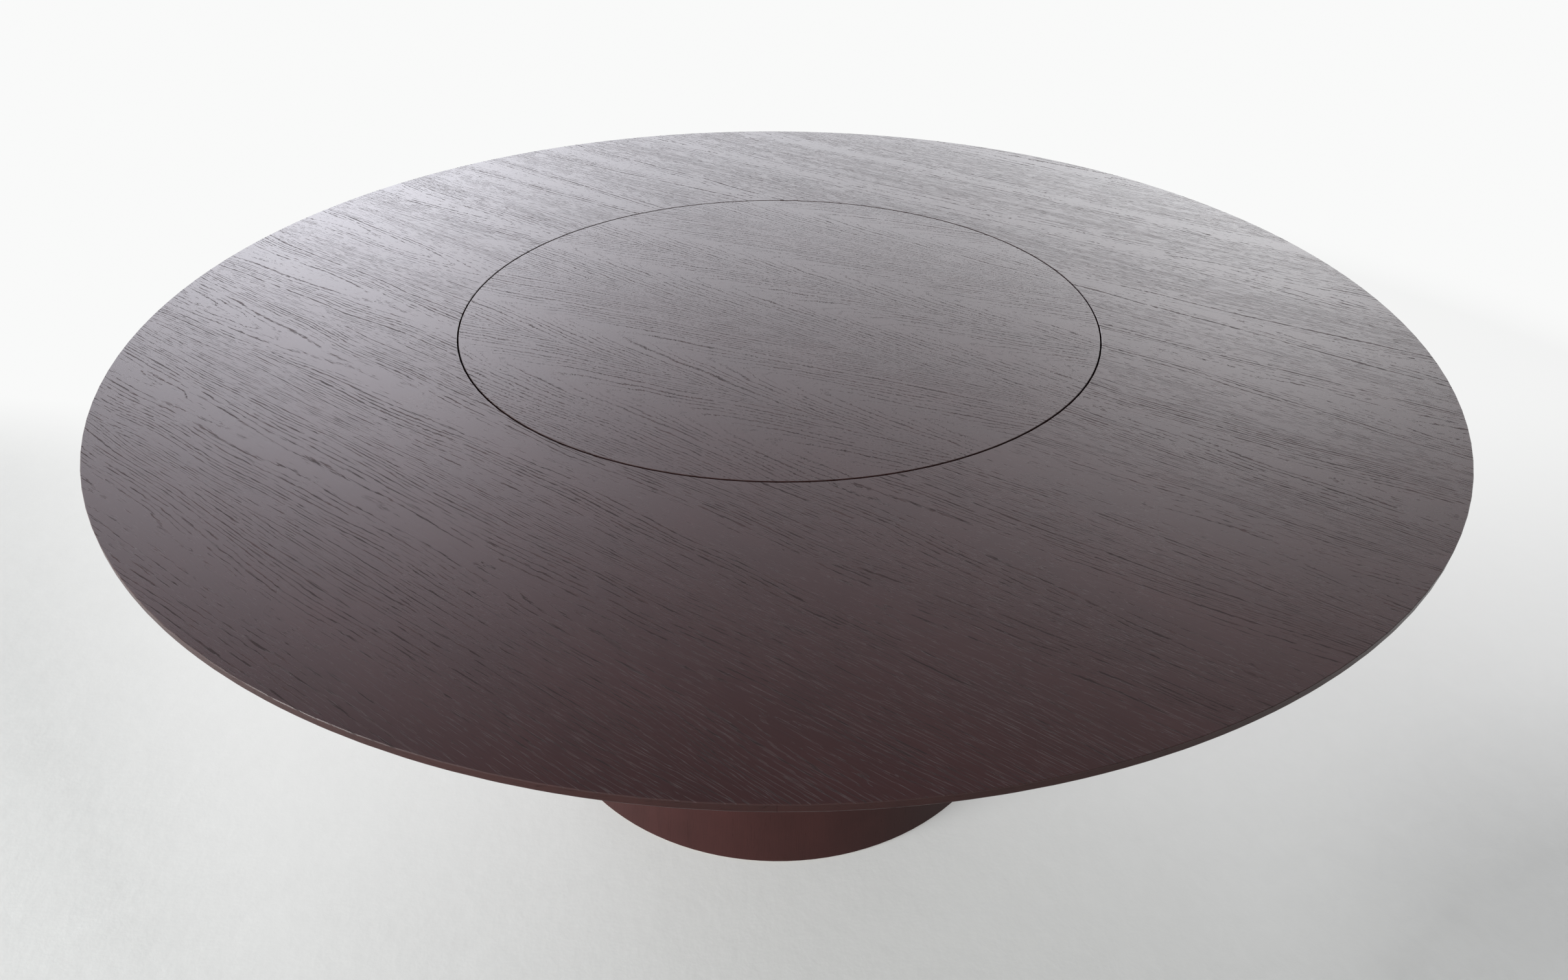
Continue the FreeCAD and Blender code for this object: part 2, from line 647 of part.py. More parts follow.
def make_foot():
    """Foot ring, ballast plate and glides under the bottom bulkhead."""
    foot_ring = ring("foot_ring", BASE_UNDER, BULKHEAD_UNDER,
                     (FOOT_RING_BORE, cone_radius(BASE_UNDER, SKIN_INSIDE)),
                     (FOOT_RING_BORE, cone_radius(BULKHEAD_UNDER, SKIN_INSIDE)))
    glide_screw_tip = f"({BASE_UNDER} + wood_screw_grip)"
    drill_round(foot_ring, "glide_screw_hole", GLIDE_RADIUS,
                screw_pilot(BASE_UNDER, glide_screw_tip), "glide_count")

    glides = fastener_ring("glides", GLIDE_RADIUS,
                           plain_hole("glide_diameter / 2", "0", BASE_UNDER), "glide_count")
    drill_round(glides, "glide_screw_hole", GLIDE_RADIUS,
                through_countersink("0", BASE_UNDER, "+"), "glide_count")
    fastener_ring("glide_screws", GLIDE_RADIUS, wood_screw("0", glide_screw_tip, "+"),
                  "glide_count")

    ballast = disc("ballast_plate", BALLAST_UNDER, BULKHEAD_UNDER,
                   "ballast_diameter / 2", "ballast_diameter / 2")
    drill_round(ballast, "ballast_bolt_hole", BALLAST_BOLT_RADIUS,
                plain_hole("(bolt_diameter / 2 + bolt_hole_gap)", BALLAST_UNDER, BULKHEAD_UNDER),
                "ballast_bolt_count")


def make_base_fasteners():
    """Bolts, washers and inserts of the carrier from above, and of the ballast from below."""
    seat = f"({TOP_UNDER} + washer_thickness)"
    fastener_ring("base_bolts", BOLT_RADIUS,
                  bolt(f"({seat} + bolt_head_height)", seat, BOLT_TIP), "base_bolt_count")
    washer_ring("base_bolt_washers", BOLT_RADIUS, TOP_UNDER, "bolt_washer",
                "bolt_diameter", "base_bolt_count")
    insert_bore = "(bolt_diameter / 2 + thread_gap)"
    sleeve_ring("base_bolt_inserts", BOLT_RADIUS, BOLT_INSERT_END, CARRIER_UNDER,
                "bolt_insert / 2", insert_bore, "base_bolt_count")

    seat = f"({BALLAST_UNDER} - washer_thickness)"
    fastener_ring("ballast_bolts", BALLAST_BOLT_RADIUS,
                  bolt(f"({seat} - bolt_head_height)", seat, BALLAST_BOLT_TIP),
                  "ballast_bolt_count")
    washer_ring("ballast_washers", BALLAST_BOLT_RADIUS, seat, "bolt_washer",
                "bolt_diameter", "ballast_bolt_count")
    sleeve_ring("ballast_inserts", BALLAST_BOLT_RADIUS, BULKHEAD_UNDER, BALLAST_INSERT_END,
                "bolt_insert / 2", insert_bore, "ballast_bolt_count")


# ---- build, test and write -------------------------------------------------------------

def test_model():
    """Every object computed, every cut removed material, every sub-part is whole."""
    for item in doc.Objects:
        if "Invalid" in item.State or "Error" in item.State:
            raise RuntimeError(f"{item.Name} failed: {item.State}")
    for cut in cuts:
        if cut.Shape.Volume >= cut.BaseFeature.Shape.Volume:
            raise RuntimeError(f"{cut.Name} removes nothing")
    for body in doc.findObjects("PartDesign::Body"):
        if body.Shape.isNull() or not body.Shape.isValid():
            raise RuntimeError(f"{body.Label} has no valid shape")


make_fixed_top()
make_ring_fasteners()
make_carrier()
make_bearing()
make_balls()
make_cage()
make_susan()
make_bulkheads()
make_middle_former()
for rib_number in range(1, int(value("rib_count")) + 1):
    make_rib(rib_number)
make_skin()
make_foot()
make_base_fasteners()
doc.recompute()
test_model()

os.makedirs("parts", exist_ok=True)
for sub_part in doc.findObjects("PartDesign::Body"):
    sub_part.Shape.exportStep(os.path.join("parts", sub_part.Label + ".step"))
    print(f"{sub_part.Label:24s} {len(sub_part.Shape.Solids):3d} solids {sub_part.Shape.Volume:14.1f} mm3")
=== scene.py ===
"""Looks of the round dining table with its turning centre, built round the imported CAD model.

Lengths are in metres and angles in degrees, in the same frame as the CAD. The
script gives every piece its finish, makes the screws again with their threads
and driving recesses, then sets the room, the light and the camera.
"""

import json
import math

import bpy
from mathutils import Matrix, Vector


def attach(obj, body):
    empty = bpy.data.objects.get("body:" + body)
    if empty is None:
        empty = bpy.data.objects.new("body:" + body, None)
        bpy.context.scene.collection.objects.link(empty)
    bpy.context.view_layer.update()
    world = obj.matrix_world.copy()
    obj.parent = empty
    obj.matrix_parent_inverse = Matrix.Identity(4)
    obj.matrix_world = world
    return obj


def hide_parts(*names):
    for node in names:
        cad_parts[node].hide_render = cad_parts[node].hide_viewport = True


# ---- the table's own sizes ---------------------------------------------------------------

TABLE_HEIGHT = 0.740
TOP_RADIUS = 0.900
TOP_THICKNESS = 0.028
EDGE_HEIGHT = 0.009
EDGE_BAND_ARCS = 12
HOLE_RADIUS = 0.460
HOLE_BAND_WIDTH = 0.008
HOLE_BAND_ARCS = 6
CARRIER_THICKNESS = 0.025
BEARING_HEIGHT = 0.012
BALL_CIRCLE_RADIUS = 0.350
RACE_GAP = 0.0016
RACE_WIDTH = 0.024
RACE_LIFT = 0.002
NECK_RADIUS = 0.310
FOOT_RADIUS = 0.415
VENEER_THICKNESS = 0.0008
SKIN_THICKNESS = 0.012
GLUE_GAP = 0.0003
RIB_THICKNESS = 0.018
RIB_COUNT = 6
FOOT_RING_WIDTH = 0.062
FOOT_RING_HEIGHT = 0.024
GLIDE_THICKNESS = 0.003
BALLAST_THICKNESS = 0.012

TOP_UNDER = TABLE_HEIGHT - TOP_THICKNESS
CARRIER_UNDER = TOP_UNDER - CARRIER_THICKNESS
SUSAN_UNDER = TOP_UNDER + BEARING_HEIGHT
INNER_RACE_UNDER = TOP_UNDER + RACE_LIFT
OUTER_RACE_TOP = SUSAN_UNDER - RACE_LIFT
BULKHEAD_UNDER = GLIDE_THICKNESS + FOOT_RING_HEIGHT
BALLAST_UNDER = BULKHEAD_UNDER - BALLAST_THICKNESS

# ---- how the veneer is laid --------------------------------------------------------------
# The way the grain runs, turned from +X, the width that the chart of leaves spans, and the
# leaves, counted across the grain: (where the leaf begins, its crown line, how fast its
# crowns open along the grain, how coarse its pores are).

RING_GRAIN = -35.5
RING_SPAN = 2.0
RING_LEAVES = (
    (-1.000, -0.861, 0.010, 1.45),
    (-0.776, -0.692, -0.012, 1.50),
    (-0.612, -0.532, 0.008, 1.62),
    (-0.444, -0.356, -0.006, 1.65),
    (-0.273, -0.190, 0.012, 1.58),
    (-0.095, 0.000, 0.000, 1.40),
    (0.088, 0.176, -0.010, 1.24),
    (0.256, 0.337, 0.010, 1.10),
    (0.413, 0.489, -0.006, 0.92),
    (0.577, 0.665, 0.012, 0.80),
    (0.750, 0.832, -0.008, 0.76),
)

SUSAN_GRAIN = -29.5
SUSAN_SPAN = 1.0
SUSAN_LEAVES = (
    (-0.500, -0.372, 0.205, 1.0),
    (-0.268, -0.157, 0.205, 1.0),
    (-0.097, -0.028, 0.205, 1.0),
    (0.075, 0.190, 0.205, 1.0),
    (0.251, 0.328, 0.205, 1.0),
)

PEDESTAL_LEAF_WIDTH = 0.170
BACKING_LEAF_WIDTH = 0.210

# The chart keeps a leaf's number and its coarseness as shares of these.
MOST_LEAVES = 64
MOST_COARSE = 2.0

# ---- figure and pores of each kind of oak ------------------------------------------------

RING_FIGURE = {"Bow": 0.05, "Crown_Width": 0.020, "Gather": 8.0, "Ring_Width": 0.0070,
               "Wander": 0.006, "Swell": 0.8, "Ripple": 0.35, "Ripple_Length": 0.09}
RING_PORES = {"Pore_Length": 0.023, "Pore_Width": 0.0009, "Early_Share": 0.40,
              "Openness": 1.05, "Uneven": 0.50}

SUSAN_FIGURE = {"Bow": 0.0, "Crown_Width": 0.008, "Gather": 6.0, "Ring_Width": 0.0102,
                "Wander": 0.003, "Swell": 0.6, "Ripple": 0.34, "Ripple_Length": 0.045}
SUSAN_PORES = {"Pore_Length": 0.0066, "Pore_Width": 0.0008, "Early_Share": 0.30,
               "Openness": 1.02, "Uneven": 0.16}

PEDESTAL_FIGURE = {"Taper": 0.03, "Crown_Width": 0.05, "Gather": 5.0, "Ring_Width": 0.0040,
                   "Wander": 0.004, "Swell": 0.5, "Ripple": 0.2, "Ripple_Length": 0.12}
PEDESTAL_PORES = {"Pore_Length": 0.020, "Pore_Width": 0.0010, "Early_Share": 0.36,
                  "Openness": 0.55}

BAND_FIGURE = {"Taper": 0.01, "Crown_Width": 0.05, "Gather": 2.0, "Ring_Width": 0.0035,
               "Wander": 0.002, "Swell": 0.3, "Ripple": 0.2, "Ripple_Length": 0.08}
BAND_PORES = {"Pore_Length": 0.010, "Pore_Width": 0.0008, "Early_Share": 0.35,
              "Openness": 0.5}

BACKING_FIGURE = {"Taper": 0.005, "Crown_Width": 0.09, "Gather": 1.0, "Ring_Width": 0.0028,
                  "Wander": 0.003, "Swell": 0.4, "Ripple": 0.2, "Ripple_Length": 0.1}
BACKING_PORES = {"Pore_Length": 0.018, "Pore_Width": 0.0011, "Early_Share": 0.35,
                 "Openness": 0.5}

# Marks that every kind of oak has, as (length along the grain, width across it).
BROAD_WAVE = (0.30, 0.09)
RIPPLE_WIDTH = 0.013
OPEN_PATCH = (0.06, 0.02)
STREAK = (0.09, 0.0016)
TONE = (0.5, 0.05)
PACKED_FILLER = (0.030, 0.0045)
PORE_DEPTH = 0.00014

# ---- colours, linear, and how each stained face is finished ------------------------------

STAIN = (0.040, 0.0125, 0.0115)
STAIN_LIGHT = (0.054, 0.0150, 0.0132)
STAIN_DEEP = (0.022, 0.0080, 0.0075)
STAIN_UPRIGHT = (0.0435, 0.0140, 0.0130)
STAIN_EDGE = (0.031, 0.0090, 0.0080)
PORE_FILL = (0.077, 0.0490, 0.0485)
# Painted highlight: the pale colour of lit pore rims and of the lit arris of the edge band.
PAINTED_HIGHLIGHT = (0.070, 0.0450, 0.0470)

FACE_COAT = {"stain": STAIN, "filler": PORE_FILL, "roughness": 0.27, "lacquer": 1.0}
PEDESTAL_COAT = {"stain": STAIN_UPRIGHT, "filler": STAIN_DEEP, "roughness": 0.40, "lacquer": 0.42}
BAND_COAT = {"stain": STAIN_EDGE, "filler": STAIN_DEEP, "roughness": 0.32, "lacquer": 0.40}
BACKING_COAT = {"stain": STAIN_LIGHT, "filler": PORE_FILL, "roughness": 0.52, "lacquer": 0.50}

# ---- boards, metal and plastic: colours --------------------------------------------------

PLY_LAYER = 0.0014
BIRCH = {"face": (0.60, 0.43, 0.255), "cross": (0.42, 0.27, 0.14), "roughness": 0.55}
STAINED_BIRCH = {"face": (0.040, 0.0240, 0.0210), "cross": (0.024, 0.0150, 0.0135),
                 "roughness": 0.50}
FIBRE_DARK = (0.37, 0.26, 0.155)
FIBRE_PALE = (0.55, 0.41, 0.265)
FIBRE_SPECK = (0.22, 0.14, 0.08)
BEECH_PALE = (0.66, 0.46, 0.29)
BEECH_FLECK = (0.42, 0.25, 0.13)
ALUMINIUM = (0.78, 0.79, 0.80)
BALL_STEEL = (0.72, 0.72, 0.73)
ZINC = (0.56, 0.56, 0.54)
BRASS = (0.70, 0.53, 0.26)
BLACK_COAT = (0.030, 0.030, 0.032)
BLACK_PLASTIC = (0.025, 0.024, 0.024)
NATURAL_NYLON = (0.78, 0.77, 0.71)

# ---- node helpers ------------------------------------------------------------------------


def feed(value, socket):
    """Wire an output into a socket, or set the socket to a plain value."""
    if isinstance(value, bpy.types.NodeSocket):
        socket.id_data.links.new(value, socket)
    else:
        socket.default_value = value


def new_node(tree, kind, inputs, settings):
    """Node with its settings made and its inputs fed."""
    made = tree.nodes.new(kind)
    for name, setting in settings.items():
        setattr(made, name, setting)
    for name, value in (inputs or {}).items():
        feed(value, made.inputs[name])
    return made


def node(tree, kind, inputs=None, **settings):
    """Shader node, which may also stand in a geometry tree where it does sums."""
    return new_node(tree, "ShaderNode" + kind, inputs, settings)


def tree_of(*values):
    """The tree in which the sockets among the values stand."""
    return next(value.id_data for value in values if isinstance(value, bpy.types.NodeSocket))


def calc(operation, *values, clamp=False):
    """Number worked out by a Math node."""
    made = node(tree_of(*values), "Math", operation=operation, use_clamp=clamp)
    for socket, value in zip(made.inputs, values):
        feed(value, socket)
    return made.outputs[0]


def plus(first, second):
    return calc("ADD", first, second)


def less(first, taken):
    return calc("SUBTRACT", first, taken)


def over(first, divisor):
    return calc("DIVIDE", first, divisor)


def times(first, *factors):
    for factor in factors:
        first = calc("MULTIPLY", first, factor)
    return first


def times_plus(first, factor, extra):
    return calc("MULTIPLY_ADD", first, factor, extra)


def centred(value):
    """Value between 0 and 1, moved so that it lies round zero."""
    return less(value, 0.5)


def rest_of(share):
    """What a share leaves of one."""
    return less(1.0, share)


def vector_calc(operation, *values):
    """Vector or number worked out by a Vector Math node."""
    made = node(tree_of(*values), "VectorMath", operation=operation)
    for socket, value in zip(made.inputs, values):
        feed(value, socket)
    return made.outputs["Value" if operation == "LENGTH" else "Vector"]


def split(vector):
    return node(vector.id_data, "SeparateXYZ", {0: vector}).outputs


def join(x, y, z=0.0):
    return node(tree_of(x, y, z), "CombineXYZ", {"X": x, "Y": y, "Z": z}).outputs[0]


def step(value, low, high, start=0.0, end=1.0):
    """Smooth step of a value from low to high, between two results."""
    made = node(value.id_data, "MapRange", interpolation_type="SMOOTHSTEP")
    for name, setting in (("Value", value), ("From Min", low), ("From Max", high),
                          ("To Min", start), ("To Max", end)):
        feed(setting, made.inputs[name])
    return made.outputs[0]


def mix(share, first, second):
    """Colour between two colours."""
    made = node(tree_of(share, first, second), "Mix", data_type="RGBA")
    for index, value in ((0, share), (6, first), (7, second)):
        if isinstance(value, tuple) and len(value) == 3:
            value = value + (1.0,)
        feed(value, made.inputs[index])
    return made.outputs[2]


def scale_colour(colour, factor):
    """Colour or vector made brighter or longer by a factor."""
    made = node(tree_of(colour, factor), "VectorMath", operation="SCALE")
    feed(colour, made.inputs[0])
    feed(factor, made.inputs["Scale"])
    return made.outputs["Vector"]


def noise(vector, scale=1.0, detail=2.0, roughness=0.5, distortion=0.0):
    """Outputs of a Noise Texture: a value first, then a colour."""
    return node(vector.id_data, "TexNoise", {
        "Vector": vector, "Scale": scale, "Detail": detail, "Roughness": roughness,
        "Distortion": distortion}).outputs


def grain_noise(along, across, layer, length, width, detail):
    """Noise drawn out along the grain, with marks of a given length and width.

    The layer is a leaf's number times a factor that each mark has for itself, so
    that no two leaves and no two kinds of mark repeat each other."""
    place = join(over(along, length), over(across, width), layer)
    return noise(place, detail=detail)


SOCKET_KINDS = {float: "Float", int: "Int", bool: "Bool", tuple: "Vector"}


def add_inputs(tree, inputs):
    """Input sockets of a group, with the values that they have when nothing is fed in."""
    for title, value in inputs.items():
        kind = "NodeSocket" + SOCKET_KINDS[type(value)]
        tree.interface.new_socket(title, in_out="INPUT", socket_type=kind).default_value = value


def group(name, inputs, outputs):
    """New shader group. Returns its tree, its input sockets and its output sockets."""
    tree = bpy.data.node_groups.new(name, "ShaderNodeTree")
    add_inputs(tree, inputs)
    for title in outputs:
        tree.interface.new_socket(title, in_out="OUTPUT", socket_type="NodeSocketFloat")
    entry = tree.nodes.new("NodeGroupInput")
    end = tree.nodes.new("NodeGroupOutput")
    return tree, entry.outputs, end.inputs


def use(tree, shared, **inputs):
    """Place a shared group. A socket's name is given with _ for each blank."""
    made = tree.nodes.new("ShaderNodeGroup")
    made.node_tree = shared
    for name, value in inputs.items():
        feed(value, made.inputs[name.replace("_", " ")])
    return made.outputs


# ---- shared shader groups ----------------------------------------------------------------

# A noise's centred value stays within about a quarter, so this makes it reach about one.
FULL_SWING = 4.0


def make_oak_rings():
    """Growth rings of a flat-cut leaf, counted outwards from its crown line.

    The rings lie wide at the crown, gather towards the leaf's joints, and open
    into nested pointed arches as the log tapers."""
    tree, given, out = group("oak_rings", {
        "Along": 0.0, "Across": 0.0, "Leaf": 0.0, "Taper": 0.0, "Bow": 0.0,
        "Crown Width": 0.02, "Gather": 6.0, "Ring Width": 0.007, "Wander": 0.008,
        "Swell": 1.0, "Ripple": 0.5, "Ripple Length": 0.05,
    }, ["Rings"])
    along, across, leaf = given["Along"], given["Across"], given["Leaf"]
    drift = times(leaf, 0.13)
    broad = grain_noise(along, across, drift, *BROAD_WAVE, detail=1.0)["Color"]
    wander, swell, _ = split(vector_calc("SUBTRACT", broad, (0.5, 0.5, 0.5)))
    ripple = grain_noise(along, across, drift, given["Ripple Length"], RIPPLE_WIDTH, detail=2.0)[0]

    side = times_plus(wander, times(given["Wander"], FULL_SWING), across)
    crown = given["Crown Width"]
    reach = calc("SQRT", plus(times(side, side), times(crown, crown)))
    gather = times_plus(calc("ABSOLUTE", side), given["Gather"], 1.0)
    rise = times(along, times_plus(along, given["Bow"], given["Taper"]))
    rings = over(less(times(reach, gather), rise), given["Ring Width"])
    rings = times_plus(swell, times(given["Swell"], FULL_SWING), rings)
    rings = times_plus(centred(ripple), times(given["Ripple"], FULL_SWING), rings)
    years = noise(join(times(rings, 0.45), leaf), detail=0.0)[0]
    feed(times_plus(centred(years), 1.6, rings), out["Rings"])
    return tree


def make_oak_pores():
    """Open pores: short dashes along the grain, thick in the band that begins each ring.

    The second output holds the thin rims round the dashes, where a painted highlight stands in for the
    light that the pores' walls catch. Near a leaf's crown line the band of pores is narrow, and its
    own edge is ragged."""
    tree, given, out = group("oak_pores", {
        "Along": 0.0, "Across": 0.0, "Leaf": 0.0, "Rings": 0.0, "Pore Length": 0.014,
        "Pore Width": 0.0011, "Early Share": 0.3, "Openness": 0.5, "Uneven": 0.5,
    }, ["Pores", "Painted_Rim_Highlight"])
    along, across, leaf = given["Along"], given["Across"], given["Leaf"]
    length, width = given["Pore Length"], given["Pore Width"]

    grit = grain_noise(along, across, leaf, times(length, 0.45), times(width, 1.5), detail=0.0)[0]
    rings = times_plus(centred(grit), 0.40, given["Rings"])
    year = calc("FRACT", rings)
    number = calc("FLOOR", rings)
    growth = noise(join(times(number, 0.71), times(leaf, 7.7)), detail=0.0)[0]
    poor = times(step(growth, 0.30, 0.66, 1.0, 0.0), given["Uneven"])
    crown = step(calc("ABSOLUTE", across), 0.001, 0.030, 0.26, 1.0)
    vigour = times(less(1.05, poor), times_plus(crown, 0.25, 0.75))
    share = times(given["Early Share"], vigour, crown)
    early = step(year, times(share, 0.4), share, 1.0, 0.0)

    dashes = grain_noise(along, across, times(leaf, 3.7), length, width, detail=0.6)[0]
    patch = grain_noise(along, across, times(leaf, 1.9), *OPEN_PATCH, detail=1.0)[0]
    opening = times(early, vigour, step(patch, 0.30, 0.56, 0.45, 1.0))
    limit = less(0.70, times(opening, times(given["Openness"], 0.42)))
    pores = step(dashes, limit, plus(limit, 0.07))
    # Thin rims round the open dashes: where the painted highlight goes.
    rims = step(dashes, less(limit, 0.08), less(limit, 0.02))
    feed(pores, out["Pores"])
    feed(times(rest_of(pores), rims), out["Painted_Rim_Highlight"])
    return tree


def make_lacquer_wear():
    """Slow change of gloss over a lacquered face, with faint rubbed smears."""
    tree, given, out = group("lacquer_wear", {"Vector": (0, 0, 0)}, ["Change"])
    slow = noise(given["Vector"], scale=3.1, detail=3.0)[0]
    smear = noise(given["Vector"], scale=11.0, detail=4.0, roughness=0.6, distortion=0.8)[0]
    both = plus(times(centred(slow), 0.09), times(step(smear, 0.60, 0.75), 0.05))
    feed(both, out["Change"])
    return tree


def make_arc_frame():
    """Frame of a band made of equal arcs: along and across each arc's own straight board.

    Joint is one on the glue line between two arcs."""
    tree, given, out = group("arc_frame", {"Vector": (0, 0, 0), "Arcs": 8.0, "Radius": 0.9},
                             ["Along", "Across", "Up", "Arc", "Joint"])
    x, y, z = split(given["Vector"])
    radius = vector_calc("LENGTH", join(x, y))
    angle = calc("ARCTAN2", y, x)
    turned = times(over(plus(angle, math.pi), math.tau), given["Arcs"])
    off_middle = centred(calc("FRACT", turned))
    swing = times(off_middle, over(math.tau, given["Arcs"]))
    out_from_axis = times(radius, calc("COSINE", swing))
    to_joint = less(0.5, calc("ABSOLUTE", off_middle))
    gap = times(to_joint, over(times(radius, math.tau), given["Arcs"]))
    feed(times(radius, calc("SINE", swing)), out["Along"])
    feed(less(out_from_axis, given["Radius"]), out["Across"])
    feed(z, out["Up"])
    feed(calc("FLOOR", turned), out["Arc"])
    feed(step(gap, 0.0002, 0.0007, 1.0, 0.0), out["Joint"])
    return tree


def make_ply_layers():
    """Cut edge of plywood: layers by depth, each second one cross-grained and darker."""
    tree, given, out = group("ply_layers", {"Depth": 0.0, "Run": (0, 0, 0)}, ["Dark", "Fibre"])
    wave = noise(given["Run"], scale=18.0, detail=1.0)[0]
    depth = over(times_plus(centred(wave), 0.0005, given["Depth"]), PLY_LAYER)
    fibre = vector_calc("MULTIPLY", given["Run"], (900.0, 900.0, 60.0))
    feed(step(calc("PINGPONG", depth, 1.0), 0.42, 0.58), out["Dark"])
    feed(noise(fibre, detail=2.0)[0], out["Fibre"])
    return tree


def make_turned_lines():
    """Fine rings left by turning a round metal part about its axis."""
    tree, given, out = group("turned_lines", {"Vector": (0, 0, 0), "Pitch": 0.0004}, ["Lines"])
    x, y, z = split(given["Vector"])
    radius = vector_calc("LENGTH", join(x, y))
    place = join(over(radius, given["Pitch"]), over(z, given["Pitch"]),
                 times(calc("ARCTAN2", y, x), 2.0))
    feed(noise(place, detail=2.0)[0], out["Lines"])
    return tree


OAK_RINGS = make_oak_rings()
OAK_PORES = make_oak_pores()
LACQUER_WEAR = make_lacquer_wear()
ARC_FRAME = make_arc_frame()
PLY_LAYERS = make_ply_layers()
TURNED_LINES = make_turned_lines()


# ---- oak ---------------------------------------------------------------------------------


def new_finish(name):
    """Material with one Principled shader. Returns also its tree, the shader and the place."""
    material = bpy.data.materials.new(name)
    material.use_nodes = True
    tree = material.node_tree
    tree.nodes.clear()
    shader = tree.nodes.new("ShaderNodeBsdfPrincipled")
    end = tree.nodes.new("ShaderNodeOutputMaterial")
    tree.links.new(shader.outputs[0], end.inputs["Surface"])
    place = node(tree, "TexCoord").outputs["Object"]
    return material, tree, shader, place


def raise_by(tree, shader, height, distance):
    """Surface relief from a height between 0 and 1."""
    bump = node(tree, "Bump", {"Height": height, "Strength": 1.0, "Distance": distance})
    feed(bump.outputs[0], shader.inputs["Normal"])


def along_grain(tree, place, grain):
    """The place on a flat face, read along and across its grain."""
    turned = node(tree, "Mapping", {"Vector": place, "Rotation": (0, 0, math.radians(-grain))},
                  vector_type="POINT")
    return split(turned.outputs[0])


def turned_over(leaf):
    """Minus one for each second leaf, since matched leaves are laid turned over."""
    odd = calc("ABSOLUTE", calc("MODULO", leaf, 2.0))
    return less(1.0, times(odd, 2.0))


def leaf_chart(tree, across, span, leaves):
    """Looks up a leaf by the place across the grain, in a colour ramp with a stop for each.

    Returns the place across the leaf's own crown line, the leaf's taper and
    number, and how coarse its pores are."""
    chart = node(tree, "ValToRGB", {"Fac": plus(over(across, span), 0.5)})
    chart.color_ramp.interpolation = "CONSTANT"
    stops = chart.color_ramp.elements
    while len(stops) < len(leaves):
        stops.new(1.0)
    for number, (stop, (start, crown, taper, coarse)) in enumerate(zip(stops, leaves)):
        stop.position = max(0.0, start / span + 0.5)
        stop.color = (crown / span + 0.5, taper + 0.5, number / MOST_LEAVES, coarse / MOST_COARSE)
    crown, taper, number = split(chart.outputs["Color"])
    crown = times(centred(crown), span)
    number = calc("ROUND", times(number, MOST_LEAVES))
    local = times(less(across, crown), turned_over(number))
    coarse = times(chart.outputs["Alpha"], MOST_COARSE)
    return local, centred(taper), number, coarse


def lay_oak(tree, shader, place, wood, pores, coat, painted_highlight=0.0):
    """Colour, gloss and relief of stained open-pore oak from its rings and pores.

    The wood is (along the grain, across it, number of the leaf, rings). The painted highlight is the
    share of a pale colour laid over the stain where pore rims or an arris would catch the light."""
    along, across, leaf, rings = wood
    streak = grain_noise(along, across, leaf, *STREAK, detail=2.0)[0]
    tone = grain_noise(along, across, times(leaf, 5.3), *TONE, detail=1.0)[0]
    cloud = noise(place, scale=13.0, detail=4.0, roughness=0.6)[0]
    packed = grain_noise(along, across, times(leaf, 2.3), *PACKED_FILLER, detail=1.0)[0]

    level = plus(times(streak, 0.30), times(tone, 0.25))
    level = times_plus(centred(cloud), 0.45, level)
    late = times(calc("FRACT", rings), 0.05)
    level = plus(less(level, late), 0.75)
    # Painted highlight: where pore rims or an arris would catch the light, a pale colour is laid over
    # the stain.
    stained = mix(painted_highlight, scale_colour(coat["stain"], level), PAINTED_HIGHLIGHT)
    sunken = tuple(part * 0.52 for part in coat["filler"])
    filler = mix(step(packed, 0.40, 0.62), sunken, coat["filler"])
    feed(mix(pores, stained, filler), shader.inputs["Base Color"])

    wear = use(tree, LACQUER_WEAR, Vector=place)["Change"]
    film = rest_of(plus(wear, times(streak, 0.10)))
    film = times(film, rest_of(pores), 0.86 * coat["lacquer"])
    rough = plus(times_plus(pores, 0.12, coat["roughness"]), wear)
    feed(film, shader.inputs["Coat Weight"])
    feed(rough, shader.inputs["Roughness"])
    shader.inputs["Coat Roughness"].default_value = coat["roughness"]
    shader.inputs["Specular IOR Level"].default_value = 0.09 * coat["lacquer"]
    raise_by(tree, shader, rest_of(pores), PORE_DEPTH)


def laid_veneer(name, grain, span, leaves, figure, pore):
    """Flat face veneered with leaves side by side. A coarse leaf has short, wide pores."""
    material, tree, shader, place = new_finish(name)
    along, aside, _ = along_grain(tree, place, grain)
    across = times(aside, -1.0)
    local, taper, leaf, coarse = leaf_chart(tree, across, span, leaves)
    rings = use(tree, OAK_RINGS, Along=along, Across=local, Leaf=leaf, Taper=taper,
                **figure)["Rings"]
    open_pores = use(
        tree, OAK_PORES, Along=along, Across=local, Leaf=leaf, Rings=rings,
        Pore_Length=over(pore["Pore_Length"], coarse),
        Pore_Width=times(pore["Pore_Width"], coarse),
        Early_Share=times(pore["Early_Share"], times_plus(coarse, 0.3, 0.7)),
        Openness=times(pore["Openness"], times_plus(coarse, 0.2, 0.8)),
        Uneven=pore["Uneven"])
    # The pore rims get a painted highlight.
    lay_oak(tree, shader, place, (along, local, leaf, rings), open_pores["Pores"], FACE_COAT,
            times(open_pores["Painted_Rim_Highlight"], 0.30))
    return material


def grow_oak(tree, along, across, leaf, figure, pore):
    """Rings and pores of oak whose leaves are all alike."""
    rings = use(tree, OAK_RINGS, Along=along, Across=across, Leaf=leaf, **figure)["Rings"]
    pores = use(tree, OAK_PORES, Along=along, Across=across, Leaf=leaf, Rings=rings,
                **pore)["Pores"]
    return rings, pores


